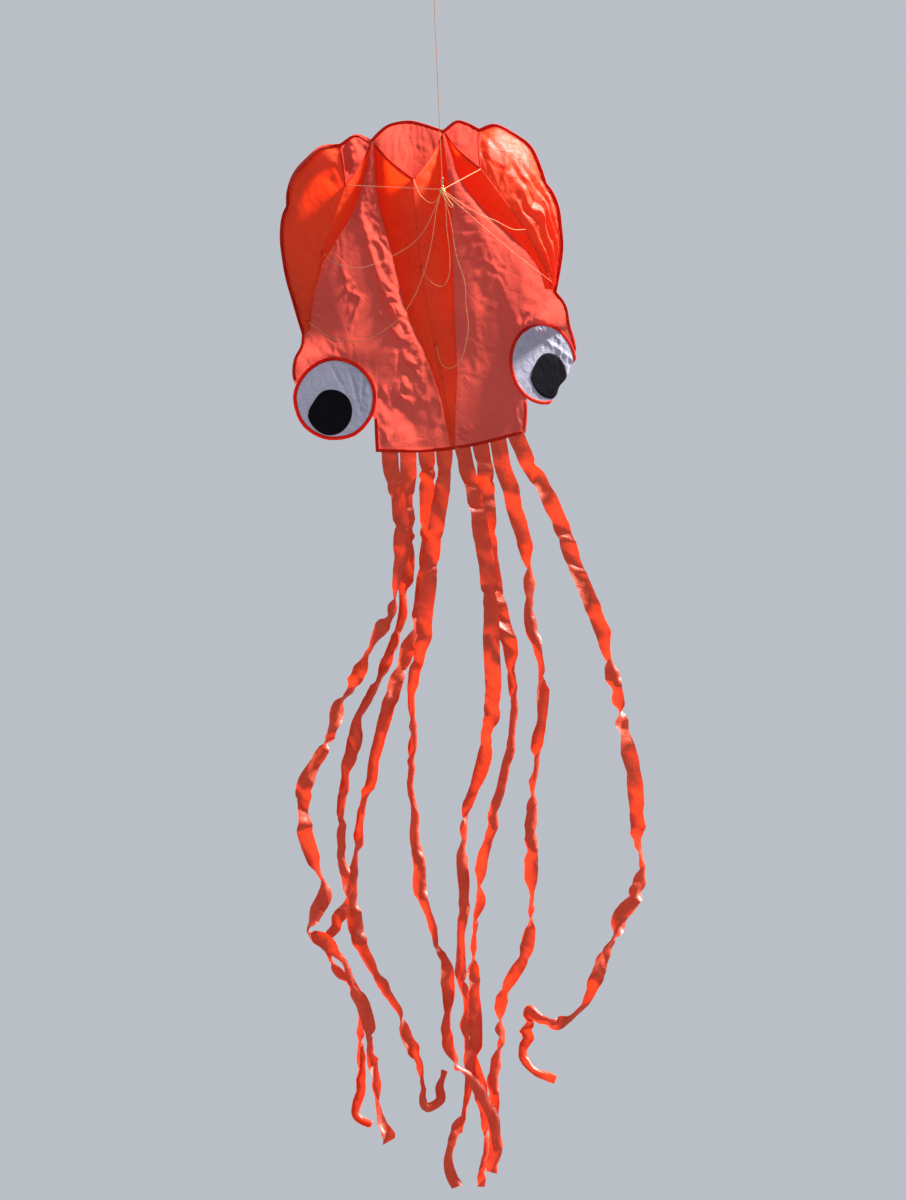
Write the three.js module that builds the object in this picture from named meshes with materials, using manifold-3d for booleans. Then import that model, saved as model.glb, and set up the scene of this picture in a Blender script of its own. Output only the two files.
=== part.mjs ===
// A soft octopus kite: one back sail, three ram-air keels on its belly, two round eyes,
// eight ribbon tentacles, a nine-line bridle and a swivel on the flying line.
// Millimetres. +Z runs up the kite's centreline to its nose and the belly faces -Y.
// The origin is the tow point, the knot where the nine bridle lines meet.
import * as THREE from "three";
import { mergeVertices } from "three/addons/utils/BufferGeometryUtils.js";
import Module from "manifold-3d";

const wasm = await Module();
wasm.setup();

// Head. Its outlines are drawn at the drawn size and stretched to these two.
const headWidth = 830;
const headHeight = 920;
const drawnWidth = 830;
const drawnHeight = 920;
const bridleReach = 470;
const keelDepth = 130;
const drawnHem = -700;
const hemDip = 22;

// Cloth, and the tape that binds its edges.
const clothThickness = 1.2;
const tapeWidth = 9;
const tapeThickness = 3;
const sewingGap = 1.2;
const ridgeGap = 2.5;
const seamLift = 5;

// Billow of the back sail, its curled nose and sides, and the cheeks turned back by the wind.
const sheetColumns = 30;
const sheetRows = 24;
const billow = 12;
const billowSpan = 200;
const noseCurl = 30;
const sideCurl = 25;
const cheekStart = 200;
const leftCheekTurn = 0.14;
const rightCheekTurn = 0.53;

// Eyes.
const eyeRadius = 118;
const pupilRadius = 64;
const pupilLift = 2;

// Tentacles.
const ribbonWidth = 48;
const ribbonThickness = 1.5;
const ribbonSpace = 4;
const ribbonSteps = 34;
const gatherShare = 1.5;
const narrowestRibbon = 18;

// Bridle, loop tail, swivel and flying line.
const lineDiameter = 2;
const lineSides = 8;
const lineGap = 1;
const tabLength = 11;
const tabHeight = 9;
const tabWidth = 6;
const tabGap = 3;
const knotRadius = 8;
const knotSpacing = 4.5;
const loopDiameter = 2.4;
const swivelDiameter = 6.4;
const swivelLength = 13;
const swivelWall = 0.9;
const swivelRing = 3.4;
const swivelWire = 0.8;
const runningGap = 0.4;
const lineKnotRadius = 2.2;
const endKnotRadius = 3.2;
const pulledLine = 700;
const pullDirection = new THREE.Vector3(0, -0.529, 0.848).normalize();

const stretchX = headWidth / drawnWidth;
const stretchZ = headHeight / drawnHeight;
const stretchY = bridleReach / 470;
const hemZ = drawnHem * stretchZ;
const clothInset = tapeWidth + sewingGap;
const ribbonPitch = ribbonWidth + ribbonSpace;

const vec = (x, y, z) => new THREE.Vector3(x, y, z);
const mix = THREE.MathUtils.lerp;
const clamp = THREE.MathUtils.clamp;
const smoothstep = THREE.MathUtils.smoothstep;

const cloth = { color: 0xd93216, roughness: 0.55 };
const sailCloth = { color: 0xd8483c, roughness: 0.55 };
const tape = { color: 0xb01808, roughness: 0.7 };
const white = { color: 0xe6e4ea, roughness: 0.5 };
const black = { color: 0x0c0a0e, roughness: 0.5 };
const cord = { color: 0xf0a070, roughness: 0.8 };
const creamCord = { color: 0xe6c080, roughness: 0.8 };
const steel = { color: 0x33363a, roughness: 0.35, metalness: 1 };

const kite = new THREE.Group();

function addPiece(name, geometry, finish, parent = kite) {
  const mesh = new THREE.Mesh(geometry, new THREE.MeshStandardMaterial(finish));
  mesh.name = name;
  parent.add(mesh);
  return mesh;
}

// ---- the head's outlines, x and z, seen from the belly side. A ridge's third number is its
// share of the keel's depth, and a pupil is off its eye's centre by shares of the radius ----
const nose = [
  [-118, 183], [-92, 204], [-66, 218], [-7, 221], [41, 205], [90, 183],
];
const sides = {
  left: {
    sign: -1,
    crest: [[-163, 202]],
    crestEnd: [-210, 181],
    lobe: [[-264, 182], [-305, 157], [-352, 116], [-379, 65], [-386, 25]],
    flank: [[-402, 0], [-416, -59], [-418, -126], [-415, -183], [-406, -243], [-397, -300]],
    waist: [-389, -343],
    cheek: [[-394, -373], [-415, -409], [-424, -461], [-400, -520], [-300, -570]],
    chin: [[-212, -608], [-216, -650], [-220, -700]],
    seam: [[-120, 176], [-149, 82], [-196, -13], [-244, -75], [-301, -141], [-328, -195],
      [-354, -282], [-364, -332]],
    ridge: [[-223, 63, 1], [-311, -123, 0.754], [-371, -310, 0.308], [-375, -336, 0.22]],
    eye: [-315, -535],
    pupilOff: [-0.16, -0.3],
  },
  right: {
    sign: 1,
    crest: [[131, 205], [163, 193]],
    crestEnd: [192, 174],
    lobe: [[237, 182], [294, 149], [337, 107], [356, 50], [366, -5]],
    flank: [[380, -31], [391, -76], [391, -144], [388, -191], [372, -256]],
    waist: [354, -315],
    cheek: [[381, -363], [398, -420], [405, -480], [380, -530], [310, -575]],
    chin: [[232, -612], [226, -655], [215, -700]],
    seam: [[93, 176], [130, 26], [175, -48], [234, -125], [283, -185], [315, -245], [325, -302]],
    ridge: [[163, 60, 1], [272, -130, 0.754], [336, -286, 0.308], [336, -308, 0.22]],
    eye: [297, -511],
    pupilOff: [0.1, -0.3],
  },
};
const centreKeel = {
  leftSeam: [[-112, 172], [-118, 11], [-98, -147], [-80, -304], [-42, -445], [-14, -578], [-8, -660]],
  rightSeam: [[86, 172], [87, -16], [69, -203], [55, -336], [39, -503], [22, -603], [10, -660]],
  ridge: [[-31, 55, 1], [-36, -198, 0.754], [-17, -421, 0.308], [1, -660, 0.08]],
};

// ---- the back sail's depth at a place on the kite ----
function sailDepth(x, z) {
  const drawnX = x / stretchX;
  const drawnZ = z / stretchZ;
  const cheek = 1 - smoothstep(drawnZ, -420, -330);
  const wave = Math.sin((Math.PI * drawnX) / billowSpan) ** 2;
  const side = clamp((Math.abs(drawnX) - 280) / 120, 0, 1) ** 2;
  const top = clamp((drawnZ - 60) / 140, 0, 1.2) ** 2;
  const turn = drawnX < 0 ? leftCheekTurn : rightCheekTurn;
  return bridleReach
    + billow * wave * (1 - cheek)
    - sideCurl * side * (1 - cheek)
    - noseCurl * top
    + cheek * turn * Math.max(0, Math.abs(x) - cheekStart * stretchX);
}

const onSail = (x, z, lift = 0) => vec(x, sailDepth(x, z) - lift, z);
const drawn = ([x, z]) => [x * stretchX, z * stretchZ];
const mixPoint = (a, b, share) => [mix(a[0], b[0], share), mix(a[1], b[1], share)];

function smoothLine(points, steps) {
  const curve = new THREE.CatmullRomCurve3(points.map(([x, z]) => vec(x, 0, z)));
  return curve.getSpacedPoints(steps).map((p) => [p.x, p.z]);
}

// Moves a closed loop of x, z points inwards by a distance, its corners mitred.
function inset(loop, distance) {
  const n = loop.length;
  const normal = (from, to) => {
    const length = Math.hypot(to[0] - from[0], to[1] - from[1]);
    return [(to[1] - from[1]) / length, (from[0] - to[0]) / length];
  };
  return loop.map((point, i) => {
    const a = normal(loop[(i + n - 1) % n], point);
    const b = normal(point, loop[(i + 1) % n]);
    const reach = distance / (1 + a[0] * b[0] + a[1] * b[1]);
    return [point[0] + reach * (a[0] + b[0]), point[1] + reach * (a[1] + b[1])];
  });
}

// ---- thin closed solids ----
function solidFrom(points, faces) {
  let volume = 0;
  for (const [a, b, c] of faces) {
    volume += points[a].dot(vec(0, 0, 0).crossVectors(points[b], points[c])) / 6;
  }
  const order = volume < 0 ? faces.map(([a, b, c]) => [a, c, b]) : faces;
  const geometry = new THREE.BufferGeometry();
  geometry.setAttribute(
    "position",
    new THREE.Float32BufferAttribute(points.flatMap((p) => p.toArray()), 3),
  );
  geometry.setIndex(order.flat());
  geometry.computeVertexNormals();
  return geometry;
}

// A sheet of cloth: rows of points across it, thickened half to each side.
function sheetSolid(rows, thickness) {
  const last = rows.length - 1;
  const across = rows[0].length - 1;
  const front = [];
  const back = [];
  rows.forEach((row, j) => row.forEach((point, i) => {
    const along = rows[Math.min(last, j + 1)][i].clone().sub(rows[Math.max(0, j - 1)][i]);
    const side = row[Math.min(across, i + 1)].clone().sub(row[Math.max(0, i - 1)]);
    const normal = side.cross(along).normalize().multiplyScalar(thickness / 2);
    front.push(point.clone().add(normal));
    back.push(point.clone().sub(normal));
  }));
  const count = front.length;
  const at = (j, i) => j * (across + 1) + i;
  const faces = [];
  const quad = (a, b, c, d) => faces.push([a, b, c], [a, c, d]);
  for (let j = 0; j < last; j++) {
    for (let i = 0; i < across; i++) {
      quad(at(j, i), at(j, i + 1), at(j + 1, i + 1), at(j + 1, i));
      quad(count + at(j, i), count + at(j + 1, i), count + at(j + 1, i + 1), count + at(j, i + 1));
    }
    quad(at(j, 0), at(j + 1, 0), count + at(j + 1, 0), count + at(j, 0));
    quad(at(j, across), count + at(j, across), count + at(j + 1, across), at(j + 1, across));
  }
  for (let i = 0; i < across; i++) {
    quad(at(0, i), count + at(0, i), count + at(0, i + 1), at(0, i + 1));
    quad(at(last, i), at(last, i + 1), count + at(last, i + 1), count + at(last, i));
  }
  return solidFrom([...front, ...back], faces);
}

function lineTube(points, steps, diameter = lineDiameter) {
  const section = new THREE.Shape();
  section.absarc(0, 0, diameter / 2, 0, 2 * Math.PI);
  return new THREE.ExtrudeGeometry(section, {
    steps,
    curveSegments: lineSides,
    extrudePath: new THREE.CatmullRomCurve3(points),
  });
}

function toManifold(geometry, matrix) {
  const plain = geometry.clone();
  plain.deleteAttribute("normal");
  plain.deleteAttribute("uv");
  const merged = mergeVertices(matrix ? plain.applyMatrix4(matrix) : plain, 1e-3);
  const mesh = new wasm.Mesh({
    numProp: 3,
    vertProperties: merged.attributes.position.array,
    triVerts: new Uint32Array(merged.index.array),
  });
  return new wasm.Manifold(mesh);
}

function fromManifold(solid) {
  const mesh = solid.getMesh();
  const geometry = new THREE.BufferGeometry();
  geometry.setAttribute("position", new THREE.BufferAttribute(mesh.vertProperties, 3));
  geometry.setIndex(new THREE.BufferAttribute(mesh.triVerts, 1));
  return geometry;
}

// ---- eyes: white disc, ring of tape and pupil, in the plane of the turned cheek ----
function eyeFrame(side) {
  const [x, z] = drawn(side.eye);
  const turn = Math.atan(side.sign < 0 ? leftCheekTurn : rightCheekTurn) * side.sign;
  const frame = new THREE.Matrix4().makeRotationZ(turn);
  frame.setPosition(x, sailDepth(x, z), z);
  return frame;
}

function addEye(name, side) {
  const eye = new THREE.Group();
  eye.applyMatrix4(eyeFrame(side));
  kite.add(eye);
  const ring = new THREE.LatheGeometry(
    [
      new THREE.Vector2(eyeRadius - tapeWidth, -tapeThickness / 2),
      new THREE.Vector2(eyeRadius, -tapeThickness / 2),
      new THREE.Vector2(eyeRadius, tapeThickness / 2),
      new THREE.Vector2(eyeRadius - tapeWidth, tapeThickness / 2),
      new THREE.Vector2(eyeRadius - tapeWidth, -tapeThickness / 2),
    ],
    40,
  );
  addPiece(`eye_ring_${name}`, ring, tape, eye);
  const whiteRadius = eyeRadius - tapeWidth - sewingGap;
  addPiece(
    `eye_white_${name}`,
    new THREE.CylinderGeometry(whiteRadius, whiteRadius, clothThickness, 40),
    white,
    eye,
  );
  const pupil = addPiece(
    `eye_pupil_${name}`,
    new THREE.CylinderGeometry(pupilRadius, pupilRadius, clothThickness, 32),
    black,
    eye,
  );
  const [offX, offZ] = side.pupilOff;
  pupil.position.set(offX * eyeRadius, -pupilLift, offZ * eyeRadius);
}

function nearEye([x, z], side, clearance) {
  const [eyeX, eyeZ] = drawn(side.eye);
  const turn = side.sign < 0 ? leftCheekTurn : rightCheekTurn;
  const across = (x - eyeX) * Math.hypot(1, turn);
  return Math.hypot(across, z - eyeZ) < eyeRadius + clearance;
}

// ---- the head's edge: smooth stretches that meet at sharp notches ----
function joined(stretches) {
  return stretches.flatMap(([points, steps], i) => (
    smoothLine(points.map(drawn), steps).slice(i === 0 ? 0 : 1)));
}

const noseEdge = joined([
  [[...sides.left.lobe].reverse().concat([sides.left.crestEnd]), 8],
  [[sides.left.crestEnd, ...sides.left.crest, nose[0]], 3],
  [nose, 7],
  [[nose.at(-1), ...sides.right.crest, sides.right.crestEnd], 4],
  [[sides.right.crestEnd, ...sides.right.lobe], 8],
]);
const sideEdge = (side) => joined([
  [[side.lobe.at(-1), ...side.flank, side.waist], 9],
  [[side.waist, ...side.cheek, side.chin[0]], 9],
  [side.chin, 3],
]);
const sideEdges = { left: sideEdge(sides.left), right: sideEdge(sides.right) };
// The hem sags between its corners, where the centre keel's tail and the ribbons pull on it.
const hemCorners = [sideEdges.left.at(-1)[0], sideEdges.right.at(-1)[0]];
const hemShare = (x) => (x - hemCorners[0]) / (hemCorners[1] - hemCorners[0]);
const hemAt = (x) => hemZ - hemDip * Math.sin(Math.PI * hemShare(x));
const hemEdge = noseEdge.map((_, i) => {
  const x = mix(hemCorners[0], hemCorners[1], i / (noseEdge.length - 1));
  return [x, hemAt(x)];
});
const edgeLoop = [
  ...noseEdge.slice(0, -1),
  ...sideEdges.right.slice(0, -1),
  ...hemEdge.slice(1).reverse(),
  ...sideEdges.left.slice(1).reverse(),
];

// ---- back sail: a billowed sheet cut to the edge, with a hole for each eye ----
function addBackSail() {
  const shape = new THREE.Shape(inset(edgeLoop, clothInset).map(([x, z]) => new THREE.Vector2(x, z)));
  const cutDepth = 600;
  const outline = new THREE.ExtrudeGeometry(shape, { depth: cutDepth, bevelEnabled: false });
  outline.rotateX(Math.PI / 2);
  outline.translate(0, bridleReach + cutDepth / 2, 0);
  const low = hemZ - hemDip - tapeWidth;
  const high = Math.max(...edgeLoop.map(([, z]) => z)) + tapeWidth;
  const wide = Math.max(...edgeLoop.map(([x]) => Math.abs(x))) + tapeWidth;
  const rows = Array.from({ length: sheetRows + 1 }, (_, j) => (
    Array.from({ length: sheetColumns + 1 }, (__, i) => (
      onSail(mix(-wide, wide, i / sheetColumns), mix(high, low, j / sheetRows))))));
  let sail = toManifold(sheetSolid(rows, clothThickness)).intersect(toManifold(outline));
  for (const side of Object.values(sides)) {
    const hole = eyeRadius + sewingGap;
    const cutter = new THREE.CylinderGeometry(hole, hole, 200, 48);
    sail = sail.subtract(toManifold(cutter, eyeFrame(side)));
  }
  const bodies = sail.decompose().sort((a, b) => b.volume() - a.volume());
  addPiece("back_sail", fromManifold(bodies[0]), sailCloth);
}

// ---- edge tapes: one round the nose from eye to eye, one round the hem ----
function addEdgeTapes() {
  const n = edgeLoop.length;
  const middle = inset(edgeLoop, tapeWidth / 2);
  const inner = inset(edgeLoop, tapeWidth);
  const clearance = tapeWidth / 2 + sewingGap;
  const free = (p) => !Object.values(sides).some((side) => nearEye(p, side, clearance));
  // Where the tape along the edge from point i, which is free, towards point j meets an eye.
  const meeting = (i, j) => {
    const shares = Array.from({ length: 20 }, (_, k) => 1 - k / 20);
    return shares.find((share) => free(mixPoint(middle[i], middle[j], share))) ?? 0;
  };
  const rowAt = (i, j = i, share = 0) => [
    onSail(...mixPoint(edgeLoop[i], edgeLoop[j], share), 1),
    onSail(...mixPoint(inner[i], inner[j], share), 1),
  ];
  const tapeFrom = (start) => {
    let first = start;
    while (free(middle[(first + n - 1) % n])) first = (first + n - 1) % n;
    let last = start;
    while (free(middle[(last + 1) % n])) last = (last + 1) % n;
    const before = (first + n - 1) % n;
    const after = (last + 1) % n;
    const count = ((last - first + n) % n) + 1;
    return [
      rowAt(first, before, meeting(first, before)),
      ...Array.from({ length: count }, (_, k) => rowAt((first + k) % n)),
      rowAt(last, after, meeting(last, after)),
    ];
  };
  const noseMiddle = Math.floor(noseEdge.length / 2);
  const hemMiddle = n - sideEdges.left.length - noseMiddle;
  addPiece("edge_binding", sheetSolid(tapeFrom(noseMiddle), tapeThickness), tape);
  addPiece("hem_binding", sheetSolid(tapeFrom(hemMiddle), tapeThickness), tape);
}

// ---- keels: two cloth panels that meet at a ridge, with a taped mouth at the nose ----
function curveOnSail(points) {
  return new THREE.CatmullRomCurve3(points.map((p) => onSail(...drawn(p), seamLift)));
}

function ridgeCurve(points) {
  return new THREE.CatmullRomCurve3(points.map((p) => {
    const [x, z] = drawn(p);
    return vec(x, bridleReach - keelDepth * p[2], z);
  }));
}

// A point of a panel: v runs down the keel, u from its seam to its ridge.
function panelPoint(seam, ridge, bulge, v, u) {
  const foot = seam.getPointAt(v);
  const top = ridge.getPointAt(v);
  const out = top.clone().sub(foot).cross(seam.getTangentAt(v)).normalize();
  if (out.y > 0) out.negate();
  const puff = bulge * Math.sin(Math.PI * u) * (1 - v);
  return foot.lerp(top, u).addScaledVector(out, puff);
}

function keelPanel(seam, ridge, bulge) {
  const steps = 12;
  const across = 5;
  const length = ridge.getLength();
  const start = (tapeWidth + ridgeGap) / length;
  const rows = [];
  for (let j = 0; j <= steps; j++) {
    const v = mix(start, 1, j / steps);
    const width = seam.getPointAt(v).distanceTo(ridge.getPointAt(v));
    const stop = 1 - Math.min(0.4, ridgeGap / width);
    rows.push(Array.from({ length: across + 1 }, (_, i) => (
      panelPoint(seam, ridge, bulge, v, (stop * i) / across))));
  }
  return sheetSolid(rows, clothThickness);
}

function mouthTape(seams, ridge, bulges) {
  const shares = [0.09, 0.2, 0.35, 0.5, 0.65, 0.8, 0.92, 1];
  const length = ridge.getLength();
  const at = (seam, bulge, u) => [0, tapeWidth / length].map((v) => (
    panelPoint(seam, ridge, bulge, v, u)));
  const first = shares.map((u) => at(seams[0], bulges[0], u));
  const second = shares.slice(0, -1).reverse().map((u) => at(seams[1], bulges[1], u));
  return sheetSolid([...first, ...second], tapeThickness);
}

// ---- bridle: a tab at each of three places down each ridge, and a line to the knot ----
function tabGeometry() {
  const shape = new THREE.Shape();
  shape.absellipse(tabLength / 2, 0, tabLength / 2, tabHeight / 2, 0, 2 * Math.PI);
  const hole = new THREE.Path();
  hole.absellipse(tabLength / 2, 0, tabLength / 2 - 2, tabHeight / 2 - 2, 0, 2 * Math.PI);
  shape.holes.push(hole);
  const loop = new THREE.ExtrudeGeometry(shape, {
    depth: tabWidth, bevelEnabled: false, curveSegments: 6,
  });
  loop.translate(0, 0, -tabWidth / 2);
  return loop.applyMatrix4(
    new THREE.Matrix4().makeBasis(vec(0, -1, 0), vec(0, 0, 1), vec(-1, 0, 0)),
  );
}

// The slack lines' routes between the knot and the tab, by keel and by height.
const bridleRoutes = {
  left: [
    [],
    [[-21, 47, -44], [-55, 105, -106], [-94, 149, -140], [-139, 191, -160], [-183, 230, -174],
      [-220, 262, -180], [-256, 294, -172], [-290, 327, -152]],
    [[-18, 41, -50], [-37, 99, -141], [-64, 155, -225], [-100, 204, -294], [-142, 245, -342],
      [-201, 289, -374], [-240, 316, -385], [-278, 341, -380], [-318, 370, -363]],
  ],
  centre: [
    [[-6, 55, -17], [-20, 111, -28], [-35, 204, 1], [-35, 280, 37]],
    [[7, 26, -19], [14, 112, -107], [22, 179, -175], [19, 244, -240], [3, 273, -262],
      [-20, 302, -248], [-32, 332, -223]],
    [[18, 54, -69], [34, 132, -184], [55, 184, -260], [56, 229, -327], [61, 266, -381],
      [51, 301, -432], [37, 331, -472], [10, 356, -493], [-10, 371, -485], [-17, 388, -456]],
  ],
  right: [
    [],
    [[61, 92, -39], [115, 165, -72], [177, 244, -99], [231, 313, -126]],
    [[193, 232, -173]],
  ],
};
const heights = ["top", "middle", "low"];

function addBridle(keelName, column, ridge, ridgePoints) {
  heights.forEach((height, i) => {
    const [x, z] = drawn(ridgePoints[i]);
    const down = i === 0 ? tapeWidth / 2 : 0;
    const foot = vec(x, bridleReach - keelDepth * ridgePoints[i][2] - tabGap, z - down);
    const tab = addPiece(`bridle_tab_${keelName}_${height}`, tabGeometry(), tape);
    tab.position.copy(foot);
    const startRadius = knotRadius + lineGap;
    const startX = column * knotSpacing;
    const startZ = (1 - i) * knotSpacing;
    const startY = Math.sqrt(startRadius ** 2 - startX ** 2 - startZ ** 2);
    const route = bridleRoutes[keelName][i];
    const points = [
      vec(startX, startY, startZ),
      ...route.map(([px, py, pz]) => vec(px * stretchX, py * stretchY, pz * stretchZ)),
      foot.clone().add(vec(0, -tabLength - lineGap, 0)),
    ];
    const steps = route.length === 0 ? 1 : 4 + 2 * route.length;
    addPiece(`bridle_line_${keelName}_${height}`, lineTube(points, steps), cord);
  });
}

function addKeel(name, column, leftSeam, rightSeam, ridgePoints, bulges) {
  const ridge = ridgeCurve(ridgePoints);
  addPiece(`keel_${name}_panel_left`, keelPanel(leftSeam, ridge, bulges[0]), cloth);
  addPiece(`keel_${name}_panel_right`, keelPanel(rightSeam, ridge, bulges[1]), cloth);
  addPiece(`mouth_binding_${name}`, mouthTape([leftSeam, rightSeam], ridge, bulges), tape);
  addBridle(name, column, ridge, ridgePoints);
}

// The outer seam of a side keel follows the head's edge, inside its tape.
function outerSeam(side) {
  const crestX = drawn(side.crestEnd)[0];
  const waistZ = drawn(side.waist)[1];
  const inner = inset(edgeLoop, clothInset + 1);
  const n = edgeLoop.length;
  const noseMiddle = Math.floor(noseEdge.length / 2);
  const downwards = edgeLoop.map((_, k) => (noseMiddle + k * side.sign + n) % n);
  const line = downwards.filter((i) => {
    const [x, z] = edgeLoop[i];
    return x * side.sign >= crestX * side.sign - 0.5 && z >= waistZ;
  }).map((i) => inner[i]);
  return new THREE.CatmullRomCurve3(line.map(([x, z]) => onSail(x, z, seamLift)));
}

function addKeels() {
  addKeel(
    "centre", 0, curveOnSail(centreKeel.leftSeam), curveOnSail(centreKeel.rightSeam),
    centreKeel.ridge, [10, 10],
  );
  addKeel(
    "left", -1, outerSeam(sides.left), curveOnSail(sides.left.seam), sides.left.ridge, [26, 8],
  );
  addKeel(
    "right", 1, curveOnSail(sides.right.seam), outerSeam(sides.right), sides.right.ridge, [8, 26],
  );
}

// ---- tentacles: each ribbon's route below the hem, at the drawn size ----
const ribbonRoutes = {
  left_4: [
    [-185, 464, -755], [-175, 452, -845], [-185, 446, -970], [-210, 446, -1095],
    [-245, 455, -1170], [-300, 480, -1225], [-340, 500, -1300], [-375, 515, -1360],
    [-425, 515, -1425], [-475, 505, -1515], [-535, 500, -1595], [-560, 505, -1695],
    [-545, 505, -1820], [-520, 490, -1910], [-570, 470, -1985], [-595, 450, -2025],
    [-550, 435, -2060], [-505, 430, -2120], [-490, 430, -2180], [-470, 432, -2255],
    [-460, 436, -2325], [-465, 440, -2410], [-460, 450, -2510], [-455, 455, -2605],
    [-440, 450, -2645],
  ],
  left_3: [
    [-135, 476, -765], [-150, 488, -845], [-165, 492, -975], [-185, 492, -1100],
    [-205, 485, -1185], [-260, 470, -1285], [-305, 455, -1355], [-345, 445, -1410],
    [-380, 440, -1475], [-415, 440, -1555], [-435, 442, -1625], [-455, 448, -1725],
    [-470, 450, -1810], [-470, 455, -1895], [-475, 462, -1955], [-510, 475, -2020],
    [-535, 482, -2085], [-520, 485, -2140], [-488, 485, -2185], [-475, 486, -2245],
    [-480, 490, -2320], [-495, 494, -2405], [-500, 498, -2490], [-520, 496, -2560],
    [-480, 490, -2590],
  ],
  left_2: [
    [-80, 482, -770], [-90, 500, -885], [-105, 505, -995], [-130, 506, -1100],
    [-160, 502, -1190], [-210, 494, -1285], [-250, 478, -1355], [-285, 452, -1435],
    [-325, 432, -1525], [-355, 432, -1610], [-390, 445, -1690], [-410, 470, -1785],
    [-435, 492, -1875], [-450, 500, -1955], [-450, 492, -2055], [-430, 475, -2135],
    [-395, 460, -2235], [-370, 450, -2300], [-355, 447, -2365], [-340, 448, -2400],
    [-318, 455, -2440], [-325, 455, -2500], [-320, 450, -2560], [-285, 462, -2540],
    [-255, 475, -2470],
  ],
  left_1: [
    [-35, 466, -775], [-55, 462, -860], [-90, 460, -970], [-115, 460, -1065],
    [-140, 460, -1165], [-160, 464, -1260], [-190, 474, -1355], [-210, 496, -1455],
    [-220, 518, -1555], [-230, 522, -1655], [-235, 522, -1750], [-245, 515, -1850],
    [-255, 500, -1965], [-240, 480, -2055], [-230, 455, -2140], [-218, 435, -2210],
    [-225, 425, -2285], [-240, 418, -2390], [-225, 412, -2450], [-195, 408, -2490],
    [-165, 410, -2550], [-140, 415, -2620], [-140, 422, -2690], [-170, 428, -2770],
  ],
  right_1: [
    [30, 462, -785], [40, 452, -860], [45, 448, -960], [50, 448, -1060],
    [45, 450, -1175], [35, 458, -1285], [25, 475, -1415], [5, 495, -1525],
    [-25, 508, -1615], [-60, 510, -1690], [-95, 496, -1765], [-115, 480, -1840],
    [-125, 464, -1915], [-135, 458, -1995], [-160, 462, -2090], [-180, 456, -2185],
    [-180, 454, -2275], [-182, 454, -2360], [-180, 454, -2445], [-165, 454, -2520],
    [-155, 453, -2585], [-155, 456, -2650], [-170, 462, -2720], [-190, 470, -2810],
  ],
  right_2: [
    [85, 476, -790], [80, 488, -890], [70, 492, -1005], [70, 492, -1135],
    [80, 486, -1235], [92, 470, -1345], [85, 452, -1435], [65, 442, -1540],
    [30, 436, -1640], [-15, 440, -1735], [-45, 462, -1820], [-80, 490, -1920],
    [-100, 502, -2030], [-125, 498, -2125], [-142, 498, -2220], [-148, 498, -2315],
    [-155, 500, -2405], [-170, 500, -2475], [-195, 498, -2555], [-230, 486, -2620],
    [-265, 470, -2695], [-278, 460, -2755], [-270, 455, -2800],
  ],
  right_3: [
    [135, 472, -785], [150, 475, -855], [160, 478, -945], [172, 478, -1030],
    [172, 475, -1100], [158, 468, -1185], [158, 458, -1275], [166, 446, -1355],
    [155, 438, -1445], [130, 436, -1555], [105, 440, -1685], [80, 448, -1810],
    [60, 456, -1935], [45, 466, -2060], [20, 478, -2160], [-20, 492, -2225],
    [-58, 505, -2280], [-75, 515, -2345], [-80, 520, -2415], [-98, 522, -2475],
    [-120, 522, -2530], [-132, 520, -2600], [-148, 514, -2680], [-165, 508, -2750],
  ],
  right_4: [
    [210, 467, -790], [235, 462, -845], [257, 462, -905], [278, 470, -970],
    [295, 485, -1040], [312, 495, -1105], [332, 495, -1175], [350, 485, -1250],
    [365, 470, -1320], [370, 455, -1380], [367, 445, -1435], [367, 445, -1500],
    [378, 455, -1605], [392, 470, -1695], [393, 485, -1790], [388, 495, -1890],
    [388, 495, -1970], [370, 485, -2025], [325, 475, -2075], [278, 470, -2140],
    [240, 465, -2195], [210, 460, -2255], [190, 460, -2300], [155, 462, -2340],
    [115, 465, -2370], [75, 460, -2385], [35, 452, -2365], [5, 470, -2325],
    [-5, 488, -2360], [-8, 490, -2410], [-18, 480, -2455], [5, 475, -2500],
    [60, 470, -2530],
  ],
};
const ribbonOrder = [
  "left_4", "left_3", "left_2", "left_1", "right_1", "right_2", "right_3", "right_4",
];
const drawnPitch = 52;

// Leans a route so that the ribbon's middle hangs straight under its seam.
function hungStraight(points) {
  const top = points[0];
  let length = 0;
  let lean = 0;
  let drop = 0;
  for (let i = 1; i < points.length; i++) {
    const piece = points[i].distanceTo(points[i - 1]);
    const middle = points[i].clone().lerp(points[i - 1], 0.5);
    length += piece;
    lean += piece * (middle.y - top.y);
    drop += piece * (top.z - middle.z);
  }
  const shift = lean / length / (drop / length);
  return points.map((p) => vec(p.x, p.y - shift * (top.z - p.z), p.z));
}

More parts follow.
